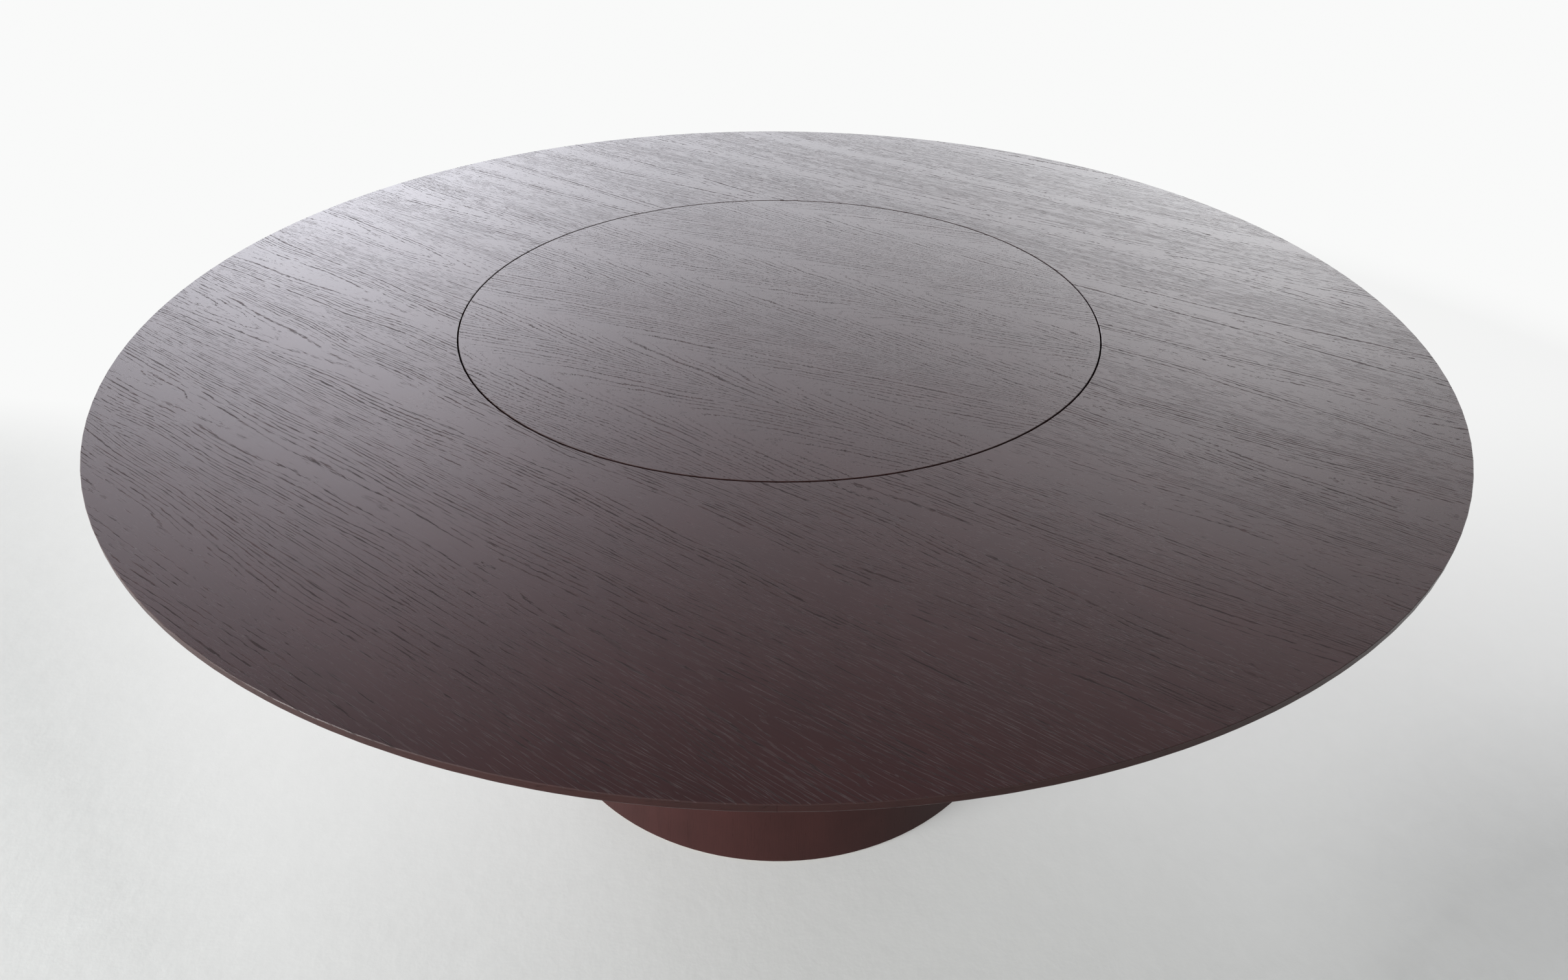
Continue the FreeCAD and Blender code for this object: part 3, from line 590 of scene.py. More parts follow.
def wrapped_veneer(name):
    """Upright-grained veneer wrapped round the pedestal in equal leaves, its pores well filled."""
    material, tree, shader, place = new_finish(name)
    x, y, z = split(place)
    turn = calc("ARCTAN2", x, times(y, -1.0))
    across = times(turn, (FOOT_RADIUS + NECK_RADIUS) / 2)
    leaves = over(across, PEDESTAL_LEAF_WIDTH)
    leaf = calc("FLOOR", leaves)
    off_crown = less(calc("FRACT", leaves), 0.45)
    local = times(off_crown, PEDESTAL_LEAF_WIDTH, turned_over(leaf))
    rings, pores = grow_oak(tree, z, local, leaf, PEDESTAL_FIGURE, PEDESTAL_PORES)
    lay_oak(tree, shader, place, (z, local, leaf, rings), times(pores, 0.18), PEDESTAL_COAT)
    return material


def solid_oak(name, arcs, radius, arris=None):
    """Solid oak band glued up from equal arcs. Along an arris at a given height a thin painted
    highlight is laid.
    """
    material, tree, shader, place = new_finish(name)
    arc = use(tree, ARC_FRAME, Vector=place, Arcs=float(arcs), Radius=radius)
    along, across, up, number = (arc[title] for title in ("Along", "Across", "Up", "Arc"))
    rings = use(tree, OAK_RINGS, Along=along, Across=plus(across, times(up, 0.6)),
                Leaf=number, **BAND_FIGURE)["Rings"]
    pores = use(tree, OAK_PORES, Along=along, Across=plus(across, up), Leaf=number,
                Rings=rings, **BAND_PORES)["Pores"]
    marks = calc("MAXIMUM", times(pores, 0.5), times(arc["Joint"], 0.4))
    painted_arris_highlight = 0.0
    if arris is not None:
        # Painted highlight: a thin paler line along the arris, where it would catch the light.
        off = calc("ABSOLUTE", less(up, arris))
        painted_arris_highlight = times(step(off, 0.0011, 0.0002), 0.5)
    lay_oak(tree, shader, place, (along, across, number, rings), marks, BAND_COAT, painted_arris_highlight)
    return material


def backing_veneer(name, grain):
    """Stained balancing veneer of the undersides: straight-grained and matt."""
    material, tree, shader, place = new_finish(name)
    along, across, _ = along_grain(tree, place, grain)
    leaves = over(across, BACKING_LEAF_WIDTH)
    leaf = calc("FLOOR", leaves)
    local = times(calc("FRACT", leaves), BACKING_LEAF_WIDTH)
    rings, pores = grow_oak(tree, along, local, leaf, BACKING_FIGURE, BACKING_PORES)
    lay_oak(tree, shader, place, (along, local, leaf, rings), pores, BACKING_COAT)
    return material


# ---- boards, metal and plastic: finishes -------------------------------------------------


def fibreboard(name):
    """Raw medium-density fibreboard: fine pale and dark fibres, and a few dark specks."""
    material, tree, shader, place = new_finish(name)
    fibres = noise(vector_calc("MULTIPLY", place, (900.0, 900.0, 2200.0)), detail=3.0)[0]
    specks = noise(place, scale=1700.0, detail=1.0)[0]
    colour = mix(fibres, FIBRE_DARK, FIBRE_PALE)
    colour = mix(step(specks, 0.66, 0.74), colour, FIBRE_SPECK)
    feed(colour, shader.inputs["Base Color"])
    feed(times_plus(fibres, 0.2, 0.68), shader.inputs["Roughness"])
    raise_by(tree, shader, fibres, 0.0001)
    return material


def ply(tree, shader, place, depth, run, grain, look):
    """Plywood: layered where it is cut, grained on its faces.

    The run is the place read along the cut edge. The grain tells how fine the
    face is along each axis."""
    layers = use(tree, PLY_LAYERS, Depth=depth, Run=run)
    streak = noise(vector_calc("MULTIPLY", place, grain), detail=3.0)[0]
    pale = tuple(part * 1.18 for part in look["face"])
    colour = mix(streak, look["face"], pale)
    colour = mix(times(layers["Dark"], 0.85), colour, look["cross"])
    colour = scale_colour(colour, times_plus(layers["Fibre"], 0.24, 0.88))
    feed(colour, shader.inputs["Base Color"])
    feed(times_plus(layers["Fibre"], 0.16, look["roughness"]), shader.inputs["Roughness"])
    raise_by(tree, shader, layers["Fibre"], 0.0001)


def flat_ply(name, underside, look=BIRCH):
    """Plywood panel that lies flat: its layers stack upwards from its underside."""
    material, tree, shader, place = new_finish(name)
    x, y, z = split(place)
    ply(tree, shader, place, less(z, underside), join(y, z, x), (5.0, 260.0, 260.0), look)
    return material


def rib_ply(name):
    """Plywood ribs that stand radially, the first half a sector from +X.

    Their layers stack sideways from one face of each rib."""
    material, tree, shader, place = new_finish(name)
    x, y, z = split(place)
    sector = math.tau / RIB_COUNT
    angle = calc("ARCTAN2", y, x)
    fold = less(calc("FLOORED_MODULO", angle, sector), sector / 2)
    radius = vector_calc("LENGTH", join(x, y))
    aside = times(radius, calc("SINE", fold))
    outward = times(radius, calc("COSINE", fold))
    ply(tree, shader, place, plus(aside, RIB_THICKNESS / 2), join(outward, aside, z),
        (260.0, 260.0, 5.0), BIRCH)
    return material


def bent_ply(name):
    """Bent plywood skin: its layers stack inwards from the pedestal's tapering face."""
    material, tree, shader, place = new_finish(name)
    x, y, z = split(place)
    radius = vector_calc("LENGTH", join(x, y))
    face = times_plus(z, (NECK_RADIUS - FOOT_RADIUS) / CARRIER_UNDER, FOOT_RADIUS)
    ply(tree, shader, place, less(face, radius), place, (200.0, 200.0, 4.0), BIRCH)
    return material


def turned_metal(name, colour, roughness, pitch):
    """Turned metal, its fine tool lines round the table's axis."""
    material, tree, shader, place = new_finish(name)
    lines = use(tree, TURNED_LINES, Vector=place, Pitch=pitch)["Lines"]
    cloud = noise(place, scale=60.0, detail=3.0)[0]
    shade = scale_colour(colour, times_plus(lines, 0.16, 0.90))
    rough = times_plus(cloud, 0.08, times_plus(lines, 0.12, roughness))
    feed(shade, shader.inputs["Base Color"])
    feed(rough, shader.inputs["Roughness"])
    shader.inputs["Metallic"].default_value = 1.0
    raise_by(tree, shader, lines, 0.00002)
    return material


def plated_steel(name, colour, roughness):
    """Bright cloudy metal skin of the balls and of small fasteners."""
    material, tree, shader, place = new_finish(name)
    spangle = noise(place, scale=420.0, detail=3.0)[0]
    cloud = noise(place, scale=45.0, detail=2.0)[0]
    dull = tuple(part * 0.82 for part in colour)
    feed(mix(cloud, colour, dull), shader.inputs["Base Color"])
    feed(times_plus(spangle, 0.22, roughness), shader.inputs["Roughness"])
    shader.inputs["Metallic"].default_value = 1.0
    raise_by(tree, shader, spangle, 0.00002)
    return material


def coated(name, colour, roughness, grain_scale, relief):
    """Powder coat or moulded plastic: fine even texture."""
    material, tree, shader, place = new_finish(name)
    texture = noise(place, scale=grain_scale, detail=2.0)[0]
    cloud = noise(place, scale=14.0, detail=2.0)[0]
    shade = scale_colour(colour, times_plus(cloud, 0.24, 0.88))
    feed(shade, shader.inputs["Base Color"])
    feed(times_plus(texture, 0.14, roughness), shader.inputs["Roughness"])
    raise_by(tree, shader, texture, relief)
    return material


def beech(name):
    """Beech dowels with short flecks, grain upright."""
    material, tree, shader, place = new_finish(name)
    flecks = noise(vector_calc("MULTIPLY", place, (2600.0, 2600.0, 320.0)), detail=1.0)[0]
    colour = mix(step(flecks, 0.60, 0.70), BEECH_PALE, BEECH_FLECK)
    feed(colour, shader.inputs["Base Color"])
    feed(times_plus(flecks, 0.2, 0.48), shader.inputs["Roughness"])
    raise_by(tree, shader, flecks, 0.00005)
    return material


# ---- finish of each piece ----------------------------------------------------------------


def dress(frame):
    """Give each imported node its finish."""
    def wear(material, *names):
        for name in names:
            for slot in frame["nodes"][name].material_slots:
                slot.material = material

    wear(laid_veneer("ring_veneer", RING_GRAIN, RING_SPAN, RING_LEAVES, RING_FIGURE, RING_PORES),
         "top_veneer")
    wear(laid_veneer("susan_veneer", SUSAN_GRAIN, SUSAN_SPAN, SUSAN_LEAVES, SUSAN_FIGURE, SUSAN_PORES),
         "susan_veneer")
    wear(wrapped_veneer("pedestal_veneer"), "base_veneer")
    # The band's lower arris gets a thin painted highlight.
    wear(solid_oak("edge_band_oak", EDGE_BAND_ARCS, TOP_RADIUS, TABLE_HEIGHT - EDGE_HEIGHT),
         "top_lipping")
    wear(solid_oak("hole_band_oak", HOLE_BAND_ARCS, HOLE_RADIUS + HOLE_BAND_WIDTH / 2),
         "hole_lipping", "susan_lipping")
    wear(backing_veneer("ring_backing", RING_GRAIN), "top_backing_veneer")
    wear(backing_veneer("susan_backing", SUSAN_GRAIN), "susan_backing_veneer")
    wear(fibreboard("fibreboard_core"), "top_core", "susan_core")
    wear(flat_ply("carrier_ply", CARRIER_UNDER, STAINED_BIRCH), "carrier_panel")
    wear(flat_ply("base_ply", GLIDE_THICKNESS), "base_top_bulkhead", "base_bottom_bulkhead",
         "base_middle_former", "foot_ring")
    wear(rib_ply("rib_ply"), *(f"rib_{number}" for number in range(1, RIB_COUNT + 1)))
    wear(bent_ply("skin_ply"), "base_shell")
    wear(beech("beech_dowel"), "top_dowels")
    wear(turned_metal("anodised_race", ALUMINIUM, roughness=0.26, pitch=0.0005),
         "bearing_outer_ring", "bearing_inner_ring")
    wear(plated_steel("ball_steel", BALL_STEEL, roughness=0.05), "bearing_balls")
    zinc = plated_steel("zinc_plate", ZINC, roughness=0.30)
    wear(zinc, "top_washers", "base_bolt_washers", "ballast_washers", *SCREW_RINGS)
    drive_screws(frame, zinc)
    wear(plated_steel("turned_brass", BRASS, roughness=0.24),
         "top_inserts", "base_bolt_inserts", "ballast_inserts")
    wear(coated("ballast_coat", BLACK_COAT, roughness=0.46, grain_scale=900.0, relief=0.00008),
         "ballast_plate")
    wear(coated("nylon", NATURAL_NYLON, roughness=0.42, grain_scale=300.0, relief=0.00002),
         "bearing_cage")
    wear(coated("black_plastic", BLACK_PLASTIC, roughness=0.40, grain_scale=700.0, relief=0.00004),
         "access_plug", "glides")


# ---- screws and bolts --------------------------------------------------------------------
# A screw is measured from its head's outer face, at Level, towards its tip.

WASHER_THICKNESS = 0.0016
HEAD_SINK = 0.0004
RING_SCREW_GRIP = 0.014
BOLT_GRIP = 0.018
WOOD_SCREW_GRIP = 0.009

RING_SCREW_RADIUS = 0.530
BASE_BOLT_RADIUS = 0.220
BALLAST_BOLT_RADIUS = 0.230
OUTER_SCREW_RADIUS = BALL_CIRCLE_RADIUS + RACE_GAP / 2 + RACE_WIDTH / 2
INNER_SCREW_RADIUS = BALL_CIRCLE_RADIUS - RACE_GAP / 2 - RACE_WIDTH / 2
FOOT_RING_RADIUS = FOOT_RADIUS - VENEER_THICKNESS - SKIN_THICKNESS - GLUE_GAP
GLIDE_RADIUS = FOOT_RING_RADIUS - FOOT_RING_WIDTH / 2
OUTER_SCREW_START = 30

SCREW_SOCKETS = {
    "Count": 6, "Ring Radius": 0.2, "First Angle": 0.0, "Level": 0.0, "Head Up": False,
    "Head Radius": 0.006, "Face Radius": 0.0055, "Face Edge": 0.0004, "Head Height": 0.004,
    "Neck Height": 0.004, "Shank Radius": 0.003, "Length": 0.04, "Tip Radius": 0.0025,
    "Tip Length": 0.0006, "Recess": 0.004, "Recess Depth": 0.002, "Cross Recess": False,
    "Thread Length": 0.02, "Pitch": 0.001,
}

MACHINE_HEAD = {"Cross_Recess": False, "Tip_Length": 0.0007}
SOCKET_M6 = dict(MACHINE_HEAD, Head_Radius=0.006, Face_Radius=0.0055, Head_Height=0.004,
                 Neck_Height=0.004, Shank_Radius=0.003, Tip_Radius=0.0022, Recess=0.004,
                 Recess_Depth=0.0022, Thread_Length=0.024, Pitch=0.001)
SOCKET_M8 = dict(MACHINE_HEAD, Head_Radius=0.007, Face_Radius=0.0064, Head_Height=0.005,
                 Neck_Height=0.005, Shank_Radius=0.004, Tip_Radius=0.0030, Recess=0.005,
                 Recess_Depth=0.0026, Thread_Length=0.024, Pitch=0.00125)
COUNTERSUNK = {"Head_Radius": 0.004, "Face_Radius": 0.0039, "Face_Edge": 0.0001,
               "Head_Height": 0.0002, "Neck_Height": 0.002, "Shank_Radius": 0.002,
               "Tip_Radius": 0.0001, "Tip_Length": 0.002, "Recess": 0.0044,
               "Recess_Depth": 0.0016, "Cross_Recess": True, "Pitch": 0.0014}


def screw_ring(kind, count, radius, face, tip, **own):
    """Sizes of one ring of screws, from the level of the heads' outer faces to the tips'."""
    return dict(kind, Count=count, Ring_Radius=radius, Level=face, Length=abs(tip - face),
                Head_Up=face > tip, **own)


M6_STACK = WASHER_THICKNESS + SOCKET_M6["Head_Height"]
M8_STACK = WASHER_THICKNESS + SOCKET_M8["Head_Height"]

SCREW_RINGS = {
    "top_screws": screw_ring(
        SOCKET_M6, 8, RING_SCREW_RADIUS, CARRIER_UNDER - M6_STACK, TOP_UNDER + RING_SCREW_GRIP),
    "base_bolts": screw_ring(
        SOCKET_M8, 6, BASE_BOLT_RADIUS, TOP_UNDER + M8_STACK, CARRIER_UNDER - BOLT_GRIP),
    "ballast_bolts": screw_ring(
        SOCKET_M8, 6, BALLAST_BOLT_RADIUS, BALLAST_UNDER - M8_STACK, BULKHEAD_UNDER + BOLT_GRIP),
    "bearing_outer_screws": screw_ring(
        COUNTERSUNK, 6, OUTER_SCREW_RADIUS, OUTER_RACE_TOP - HEAD_SINK,
        TOP_UNDER - WOOD_SCREW_GRIP, Thread_Length=0.012,
        First_Angle=math.radians(OUTER_SCREW_START)),
    "bearing_inner_screws": screw_ring(
        COUNTERSUNK, 6, INNER_SCREW_RADIUS, INNER_RACE_UNDER + HEAD_SINK,
        SUSAN_UNDER + WOOD_SCREW_GRIP, Thread_Length=0.012),
    "glide_screws": screw_ring(
        COUNTERSUNK, 8, GLIDE_RADIUS, HEAD_SINK, GLIDE_THICKNESS + WOOD_SCREW_GRIP,
        Thread_Length=0.007),
}

SKIN_POINTS = 24
COIL_POINTS = 12
RIDGE_POINTS = 4
SHARP_EDGE = 34


def shape_node(tree, kind, inputs=None, **settings):
    """Outputs of a geometry node."""
    return new_node(tree, "GeometryNode" + kind, inputs, settings).outputs


def choose(tree, switch, plain, other):
    """One of two numbers, by a switch."""
    return shape_node(tree, "Switch", {"Switch": switch, "False": plain, "True": other},
                      input_type="FLOAT")[0]


def put_together(tree, *shapes):
    joined = tree.nodes.new("GeometryNodeJoinGeometry")
    for shape in shapes:
        tree.links.new(shape, joined.inputs[0])
    return joined.outputs[0]


def recess_reach(tree, given, turn):
    """How far a driving recess reaches from the screw's axis: six flats, or a cross."""
    def fold(sector):
        moved = calc("FLOORED_MODULO", plus(turn, sector / 2), sector)
        return less(moved, sector / 2)

    half = times(given["Recess"], 0.5)
    hexagon = over(half, calc("COSINE", fold(math.tau / 6)))
    aside = calc("ABSOLUTE", calc("SINE", fold(math.tau / 4)))
    arm = over(times(half, 0.26), calc("MAXIMUM", aside, 0.05))
    return choose(tree, given["Cross Recess"], hexagon, calc("MINIMUM", half, arm))


def turn_screw(tree, given, thread_start, tip_start):
    """One closed skin, from the bottom of the recess over the head to the tip."""
    x, y, _ = split(shape_node(tree, "InputPosition")[0])
    outward = vector_calc("NORMALIZE", join(x, y))
    recess = recess_reach(tree, given, calc("ARCTAN2", y, x))
    narrowed = choose(tree, given["Cross Recess"], 1.0, 0.45)
    core = less(given["Shank Radius"], times(given["Pitch"], 0.5))

    def ring_at(mesh, radius, level, chosen=True):
        lift = node(tree, "CombineXYZ", {"Z": level}).outputs[0]
        place = vector_calc("ADD", scale_colour(outward, radius), lift)
        return shape_node(tree, "SetPosition", {"Geometry": mesh, "Selection": chosen,
                                                "Position": place})[0]

    disc = shape_node(tree, "MeshCircle", {"Vertices": SKIN_POINTS, "Radius": 0.001},
                      fill_type="NGON")[0]
    skin = ring_at(disc, times(recess, narrowed), given["Recess Depth"])
    recess_floor = shape_node(tree, "FlipFaces", {"Mesh": skin})[0]
    top = True
    for radius, level in (
            (recess, 0.0),
            (given["Face Radius"], 0.0),
            (given["Head Radius"], given["Face Edge"]),
            (given["Head Radius"], given["Head Height"]),
            (given["Shank Radius"], given["Neck Height"]),
            (given["Shank Radius"], thread_start),
            (core, thread_start),
            (core, tip_start),
            (given["Tip Radius"], given["Length"])):
        grown = shape_node(tree, "ExtrudeMesh", {"Mesh": skin, "Selection": top, "Offset Scale": 0.0,
                                                 "Individual": False}, mode="FACES")
        top = grown["Top"]
        skin = ring_at(grown["Mesh"], radius, level, top)
    closed = put_together(tree, skin, recess_floor)
    return shape_node(tree, "MergeByDistance", {"Geometry": closed, "Distance": 0.000002})[0]


def wind_thread(tree, given, thread_start):
    """A helical ridge, wound on the core."""
    ridge_radius = times(given["Pitch"], 0.33)
    coil_radius = less(given["Shank Radius"], ridge_radius)
    coil = shape_node(tree, "CurveSpiral", {
        "Resolution": COIL_POINTS, "Rotations": over(given["Thread Length"], given["Pitch"]),
        "Start Radius": coil_radius, "End Radius": coil_radius,
        "Height": less(given["Thread Length"], times(ridge_radius, 2.0))})[0]
    ridge = shape_node(tree, "CurvePrimitiveCircle", {"Resolution": RIDGE_POINTS,
                                                      "Radius": ridge_radius})[0]
    thread = shape_node(tree, "CurveToMesh", {"Curve": coil, "Profile Curve": ridge,
                                              "Fill Caps": True})[0]
    place = join(0.0, 0.0, plus(thread_start, ridge_radius))
    return shape_node(tree, "Transform", {"Geometry": thread, "Translation": place})[0]


def set_round(tree, given, screw):
    """Copies of a screw on a circle, each left at another angle by its driver."""
    over_head = choose(tree, given["Head Up"], 0.0, math.pi)
    screw = shape_node(tree, "Transform", {"Geometry": screw,
                                           "Rotation": join(over_head, 0.0)})[0]
    places = shape_node(tree, "MeshCircle", {"Vertices": given["Count"],
                                             "Radius": given["Ring Radius"]})[0]
    places = shape_node(tree, "Transform", {
        "Geometry": places, "Translation": join(0.0, 0.0, given["Level"]),
        "Rotation": join(0.0, 0.0, given["First Angle"])})[0]
    driven = tree.nodes.new("FunctionNodeRandomValue")
    driven.data_type = "FLOAT"
    feed(math.tau, driven.inputs[3])
    feed(7, driven.inputs["Seed"])
    ring = shape_node(tree, "InstanceOnPoints", {
        "Points": places, "Instance": screw,
        "Rotation": join(0.0, 0.0, driven.outputs[1])})[0]
    return shape_node(tree, "RealizeInstances", {"Geometry": ring})[0]


def make_screw_ring():
    """A ring of equal screws with threads, sharp where their edges are."""
    tree = bpy.data.node_groups.new("screw_ring", "GeometryNodeTree")
    add_inputs(tree, SCREW_SOCKETS)
    tree.interface.new_socket("Finish", in_out="INPUT", socket_type="NodeSocketMaterial")
    tree.interface.new_socket("Screws", in_out="OUTPUT", socket_type="NodeSocketGeometry")
    given = tree.nodes.new("NodeGroupInput").outputs
    end = tree.nodes.new("NodeGroupOutput").inputs

    tip_start = less(given["Length"], given["Tip Length"])
    thread_start = less(tip_start, given["Thread Length"])
    body = turn_screw(tree, given, thread_start, tip_start)
    screw = put_together(tree, body, wind_thread(tree, given, thread_start))
    ring = set_round(tree, given, screw)
    bend = shape_node(tree, "InputMeshEdgeAngle")["Unsigned Angle"]
    sharp = calc("GREATER_THAN", bend, math.radians(SHARP_EDGE))
    ring = shape_node(tree, "SetShadeSmooth", {0: ring, "Selection": sharp, "Shade Smooth": False},
                      domain="EDGE")[0]
    ring = shape_node(tree, "SetMaterial", {"Geometry": ring, "Material": given["Finish"]})[0]
    tree.links.new(ring, end[0])
    return tree


def screw_mesh(tree, finish, sizes):
    """Plain mesh of one ring of screws."""
    holder = bpy.data.objects.new("screw_holder", bpy.data.meshes.new("screw_holder"))
    bpy.context.scene.collection.objects.link(holder)
    maker = holder.modifiers.new("screws", "NODES")
    maker.node_group = tree
    sockets = {item.name: item.identifier for item in tree.interface.items_tree
               if item.in_out == "INPUT"}
    maker[sockets["Finish"]] = finish
    for title, size in sizes.items():
        maker[sockets[title.replace("_", " ")]] = size
    ready = holder.evaluated_get(bpy.context.evaluated_depsgraph_get())
    mesh = bpy.data.meshes.new_from_object(ready)
    holder.modifiers.remove(maker)
    bpy.data.objects.remove(holder)
    mesh.materials.clear()
    mesh.materials.append(finish)
    mesh.polygons.foreach_set("material_index", [0] * len(mesh.polygons))
    return mesh


def drive_screws(frame, finish):
    """Put every ring of screws and bolts in the place of its plain node."""
    bodies = frame["record"]["behaviour"]["bodies"]
    tree = make_screw_ring()
    for node_name, sizes in SCREW_RINGS.items():
        ring = bpy.data.objects.new(node_name + "_driven", screw_mesh(tree, finish, sizes))
        bpy.context.scene.collection.objects.link(ring)
        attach(ring, next(name for name, members in bodies.items() if node_name in members))
        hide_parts(node_name)


# ---- room, light and camera --------------------------------------------------------------

# Two windows behind the table, as (degrees to the right, width in degrees, strength).
LEFT_WINDOW = (-24.0, 12.5, 1.95)
RIGHT_WINDOW = (27.0, 10.0, 1.55)

COOL_LEFT = (0.985, 1.0, 1.085)
COOL_RIGHT = (0.985, 1.0, 1.025)
CEILING_TINT = (1.17, 0.98, 1.09)
BACKDROP = (0.96, 0.96, 0.965, 1.0)

FLOOR_RADIUS = 16.0
PAINT_DARK = (0.78, 0.80, 0.78)
PAINT_PALE = (0.82, 0.84, 0.82)
# Colour of the floor's glow: the backdrop far away, and painted light round and under the table.
FLOOR_GLOW = (0.948, 0.952, 0.948, 1.0)

LAMP_PLACE = (-4.3, -2.6, 1.15)
LAMP_AIM = (0.0, 0.0, 0.35)
LAMP_SIZE = 2.2
LAMP_POWER = 290.0

FOCAL_LENGTH = 24.161
EYE_PLACE = (0.0, -1.42704, 1.39616)
EYE_TURNS = (("X", 90.0 - 24.694), ("Y", -0.27979), ("X", -9.87357), ("Z", 0.3665))


def room_level(turn, height, behind):
    """How bright the room is, by the degrees turned and raised from straight behind the table."""
    def window(centre, width, strength):
        off = over(less(turn, centre), width)
        fall = calc("EXPONENT", times(off, off, -1.0))
        return times(fall, strength)

    left = times(window(*LEFT_WINDOW), step(height, 54.0, 20.0),
                 step(height, 17.0, 26.0, 0.82, 1.0))
    right = times(window(*RIGHT_WINDOW), step(height, 40.0, 18.0))
    wall = times(step(turn, 12.0, 42.0, 2.15, 1.18),
                 step(turn, -45.0, -24.0, 0.7, 1.0))
    back = times(step(height, 53.5, 9.0), plus(plus(left, right), wall))

    angle = calc("RADIANS", turn)
    side = times_plus(calc("SINE", angle), -0.30, 0.56)
    front = times(calc("COSINE", angle), 0.12)
    around = times(step(height, 72.0, 38.0), plus(side, front))
    blend = plus(around, times(behind, less(back, around)))
    return plus(blend, 0.12)


def light_room():
    """Pale room whose light comes low from behind the table, softly from two sides.

    The eye sees an even backdrop in its place."""
    world = bpy.data.worlds.new("room")
    bpy.context.scene.world = world
    world.use_nodes = True
    tree = world.node_tree
    tree.nodes.clear()
    facing = vector_calc("NORMALIZE", node(tree, "TexCoord").outputs["Generated"])
    x, y, z = split(facing)
    height = times(calc("ARCSINE", z), 180 / math.pi)
    turn = times(calc("ARCTAN2", x, y), 180 / math.pi)
    behind = step(calc("ABSOLUTE", turn), 38.0, 75.0, 1.0, 0.0)

    cool = mix(step(turn, -30.0, 30.0), COOL_LEFT, COOL_RIGHT)
    tint = mix(behind, (1.0, 1.0, 1.0), cool)
    tint = mix(times(step(height, 15.0, 60.0), behind), tint, CEILING_TINT)
    glow = scale_colour(tint, room_level(turn, height, behind))
    light = node(tree, "Background", {"Color": glow, "Strength": 1.0})
    backdrop = node(tree, "Background", {"Color": BACKDROP, "Strength": 1.0})
    seen = node(tree, "LightPath").outputs["Is Camera Ray"]
    both = node(tree, "MixShader", {0: seen, 1: light.outputs[0], 2: backdrop.outputs[0]})
    node(tree, "OutputWorld", {"Surface": both.outputs[0]})


def floor_fade(x, y):
    """Share of the backdrop's glow in the floor: none of it before the table, all of it far away.
    Round and under the table a share of it is painted light that lifts the floor's shade, less of it
    towards the sides.
    """
    far = step(vector_calc("LENGTH", join(x, y)), 1.3, 3.0)
    reach = calc("MAXIMUM", 0.5, times_plus(y, 0.61, 1.44))
    aside = over(calc("ABSOLUTE", x), reach)
    glow_cut_at_sides = times(step(aside, 0.62, 1.12), step(x, -0.5, 0.5, 0.64, 0.32))
    not_behind = times(step(y, 1.2, 0.6),
                       step(times_plus(x, 0.45, y), 0.8, -0.2))
    glow_cut_at_sides = times(glow_cut_at_sides, not_behind)
    # Painted light: a share of glow that grows from before the table to behind it, lifting the shade
    # on the floor round and under the table. It is taken away towards the sides and is slightly less
    # on the right.
    near = less(step(y, -1.2, 1.15), times_plus(x, 0.05, glow_cut_at_sides))
    return calc("MAXIMUM", near, far)


def pale_floor():
    """Pale trowelled paint that glows like the backdrop where it fades into it.

    The glow is there for the eye and for mirrors and glass. It lights nothing. Round and under the
    table part of the glow is painted light that lifts the floor's shade, and towards the far left the
    paint is darkened as painted shade."""
    material = bpy.data.materials.new("pale_floor")
    material.use_nodes = True
    tree = material.node_tree
    tree.nodes.clear()
    place = node(tree, "TexCoord").outputs["Object"]
    x, y, _ = split(place)
    cast = noise(place, scale=0.5, detail=2.0)[0]
    trowel = noise(place, scale=16.0, detail=5.0, roughness=0.65, distortion=0.6)[0]
    skim = noise(place, scale=42.0, detail=4.0, roughness=0.6)[0]
    # Painted shade: the paint grows darker towards the far left, by up to 12 per cent, to hold back
    # the near-left lamp's light there. The trowel marks beside it are real.
    level = times(step(x, -0.7, -1.7, 1.0, 0.88), times_plus(trowel, 0.10, 0.95))
    paint = scale_colour(mix(cast, PAINT_DARK, PAINT_PALE), level)
    relief = node(tree, "Bump", {"Height": skim, "Distance": 0.0016, "Strength": 0.3}).outputs[0]
    matt = node(tree, "BsdfDiffuse", {"Color": paint, "Normal": relief})
    glow = node(tree, "Emission", {"Color": FLOOR_GLOW, "Strength": 1.0})
    path = node(tree, "LightPath").outputs
    mirrored = plus(path["Is Glossy Ray"], path["Is Transmission Ray"])
    seen = calc("ADD", path["Is Camera Ray"], mirrored, clamp=True)
    share = calc("MULTIPLY", floor_fade(x, y), seen, clamp=True)
    both = node(tree, "MixShader", {0: share, 1: matt.outputs[0], 2: glow.outputs[0]})
    node(tree, "OutputMaterial", {"Surface": both.outputs[0]})
    return material


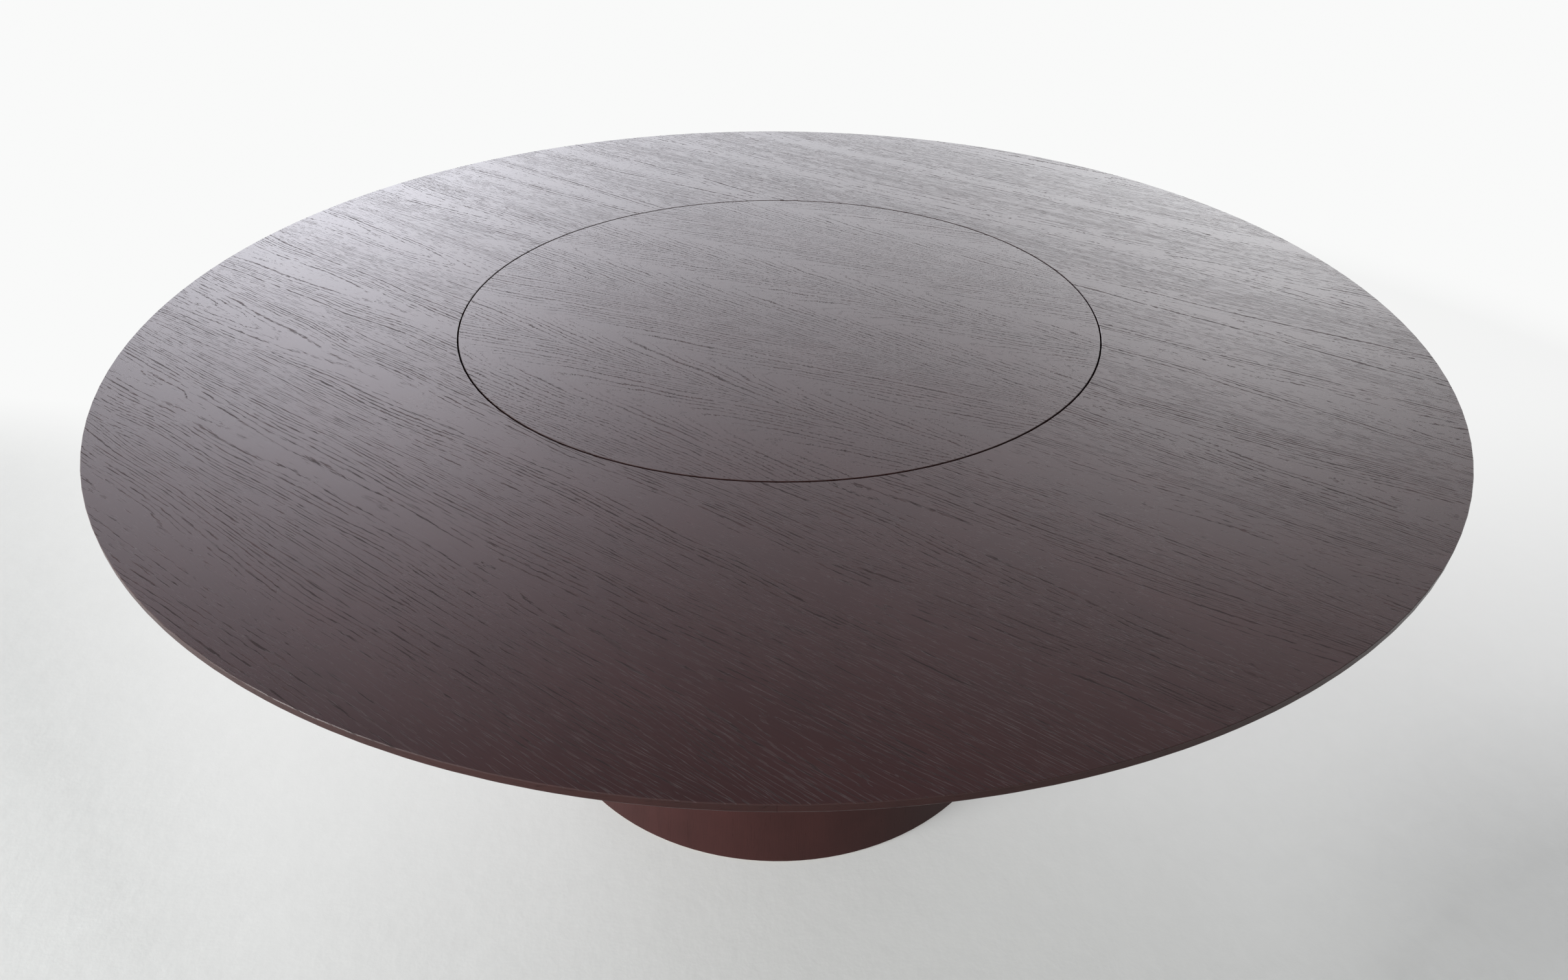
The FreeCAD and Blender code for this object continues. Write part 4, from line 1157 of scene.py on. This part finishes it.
def lay_floor():
    """Wide pale floor that fades into the backdrop far away and keeps the table's shadow."""
    bpy.ops.mesh.primitive_circle_add(vertices=96, radius=FLOOR_RADIUS, fill_type="NGON",
                                      location=(0, 0, 0))
    floor = bpy.context.object
    floor.name = "floor"
    floor.data.materials.append(pale_floor())


def hang_lamp():
    """Soft lamp on the near left."""
    lamp = bpy.data.lights.new("soft_lamp", "AREA")
    lamp.shape = "DISK"
    lamp.size = LAMP_SIZE
    lamp.energy = LAMP_POWER
    piece = bpy.data.objects.new("soft_lamp", lamp)
    piece.location = LAMP_PLACE
    facing = Vector(LAMP_AIM) - piece.location
    piece.rotation_euler = facing.to_track_quat("-Z", "Y").to_euler()
    bpy.context.scene.collection.objects.link(piece)


def set_camera():
    """Standing eye at the near edge, looking down across the top."""
    lens = bpy.data.cameras.new("eye")
    lens.sensor_width = 36.0
    lens.sensor_fit = "HORIZONTAL"
    lens.lens = FOCAL_LENGTH
    lens.clip_start = 0.02
    lens.clip_end = 60.0
    camera = bpy.data.objects.new("eye", lens)
    bpy.context.scene.collection.objects.link(camera)
    turn = Matrix.Identity(4)
    for axis, angle in EYE_TURNS:
        turn = turn @ Matrix.Rotation(math.radians(angle), 4, axis)
    camera.matrix_world = Matrix.Translation(EYE_PLACE) @ turn
    bpy.context.scene.camera = camera


# ---- the scene ---------------------------------------------------------------------------

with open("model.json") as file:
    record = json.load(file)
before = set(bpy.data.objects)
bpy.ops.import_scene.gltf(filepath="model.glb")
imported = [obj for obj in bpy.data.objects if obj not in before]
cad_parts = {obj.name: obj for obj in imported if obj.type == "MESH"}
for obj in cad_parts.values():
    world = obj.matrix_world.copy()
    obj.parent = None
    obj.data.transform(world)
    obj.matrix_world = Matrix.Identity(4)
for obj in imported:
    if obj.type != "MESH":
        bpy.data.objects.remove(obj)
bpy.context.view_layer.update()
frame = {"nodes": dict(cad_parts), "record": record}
set_camera()
dress(frame)
lay_floor()
light_room()
hang_lamp()
bpy.context.scene.view_settings.view_transform = "Standard"
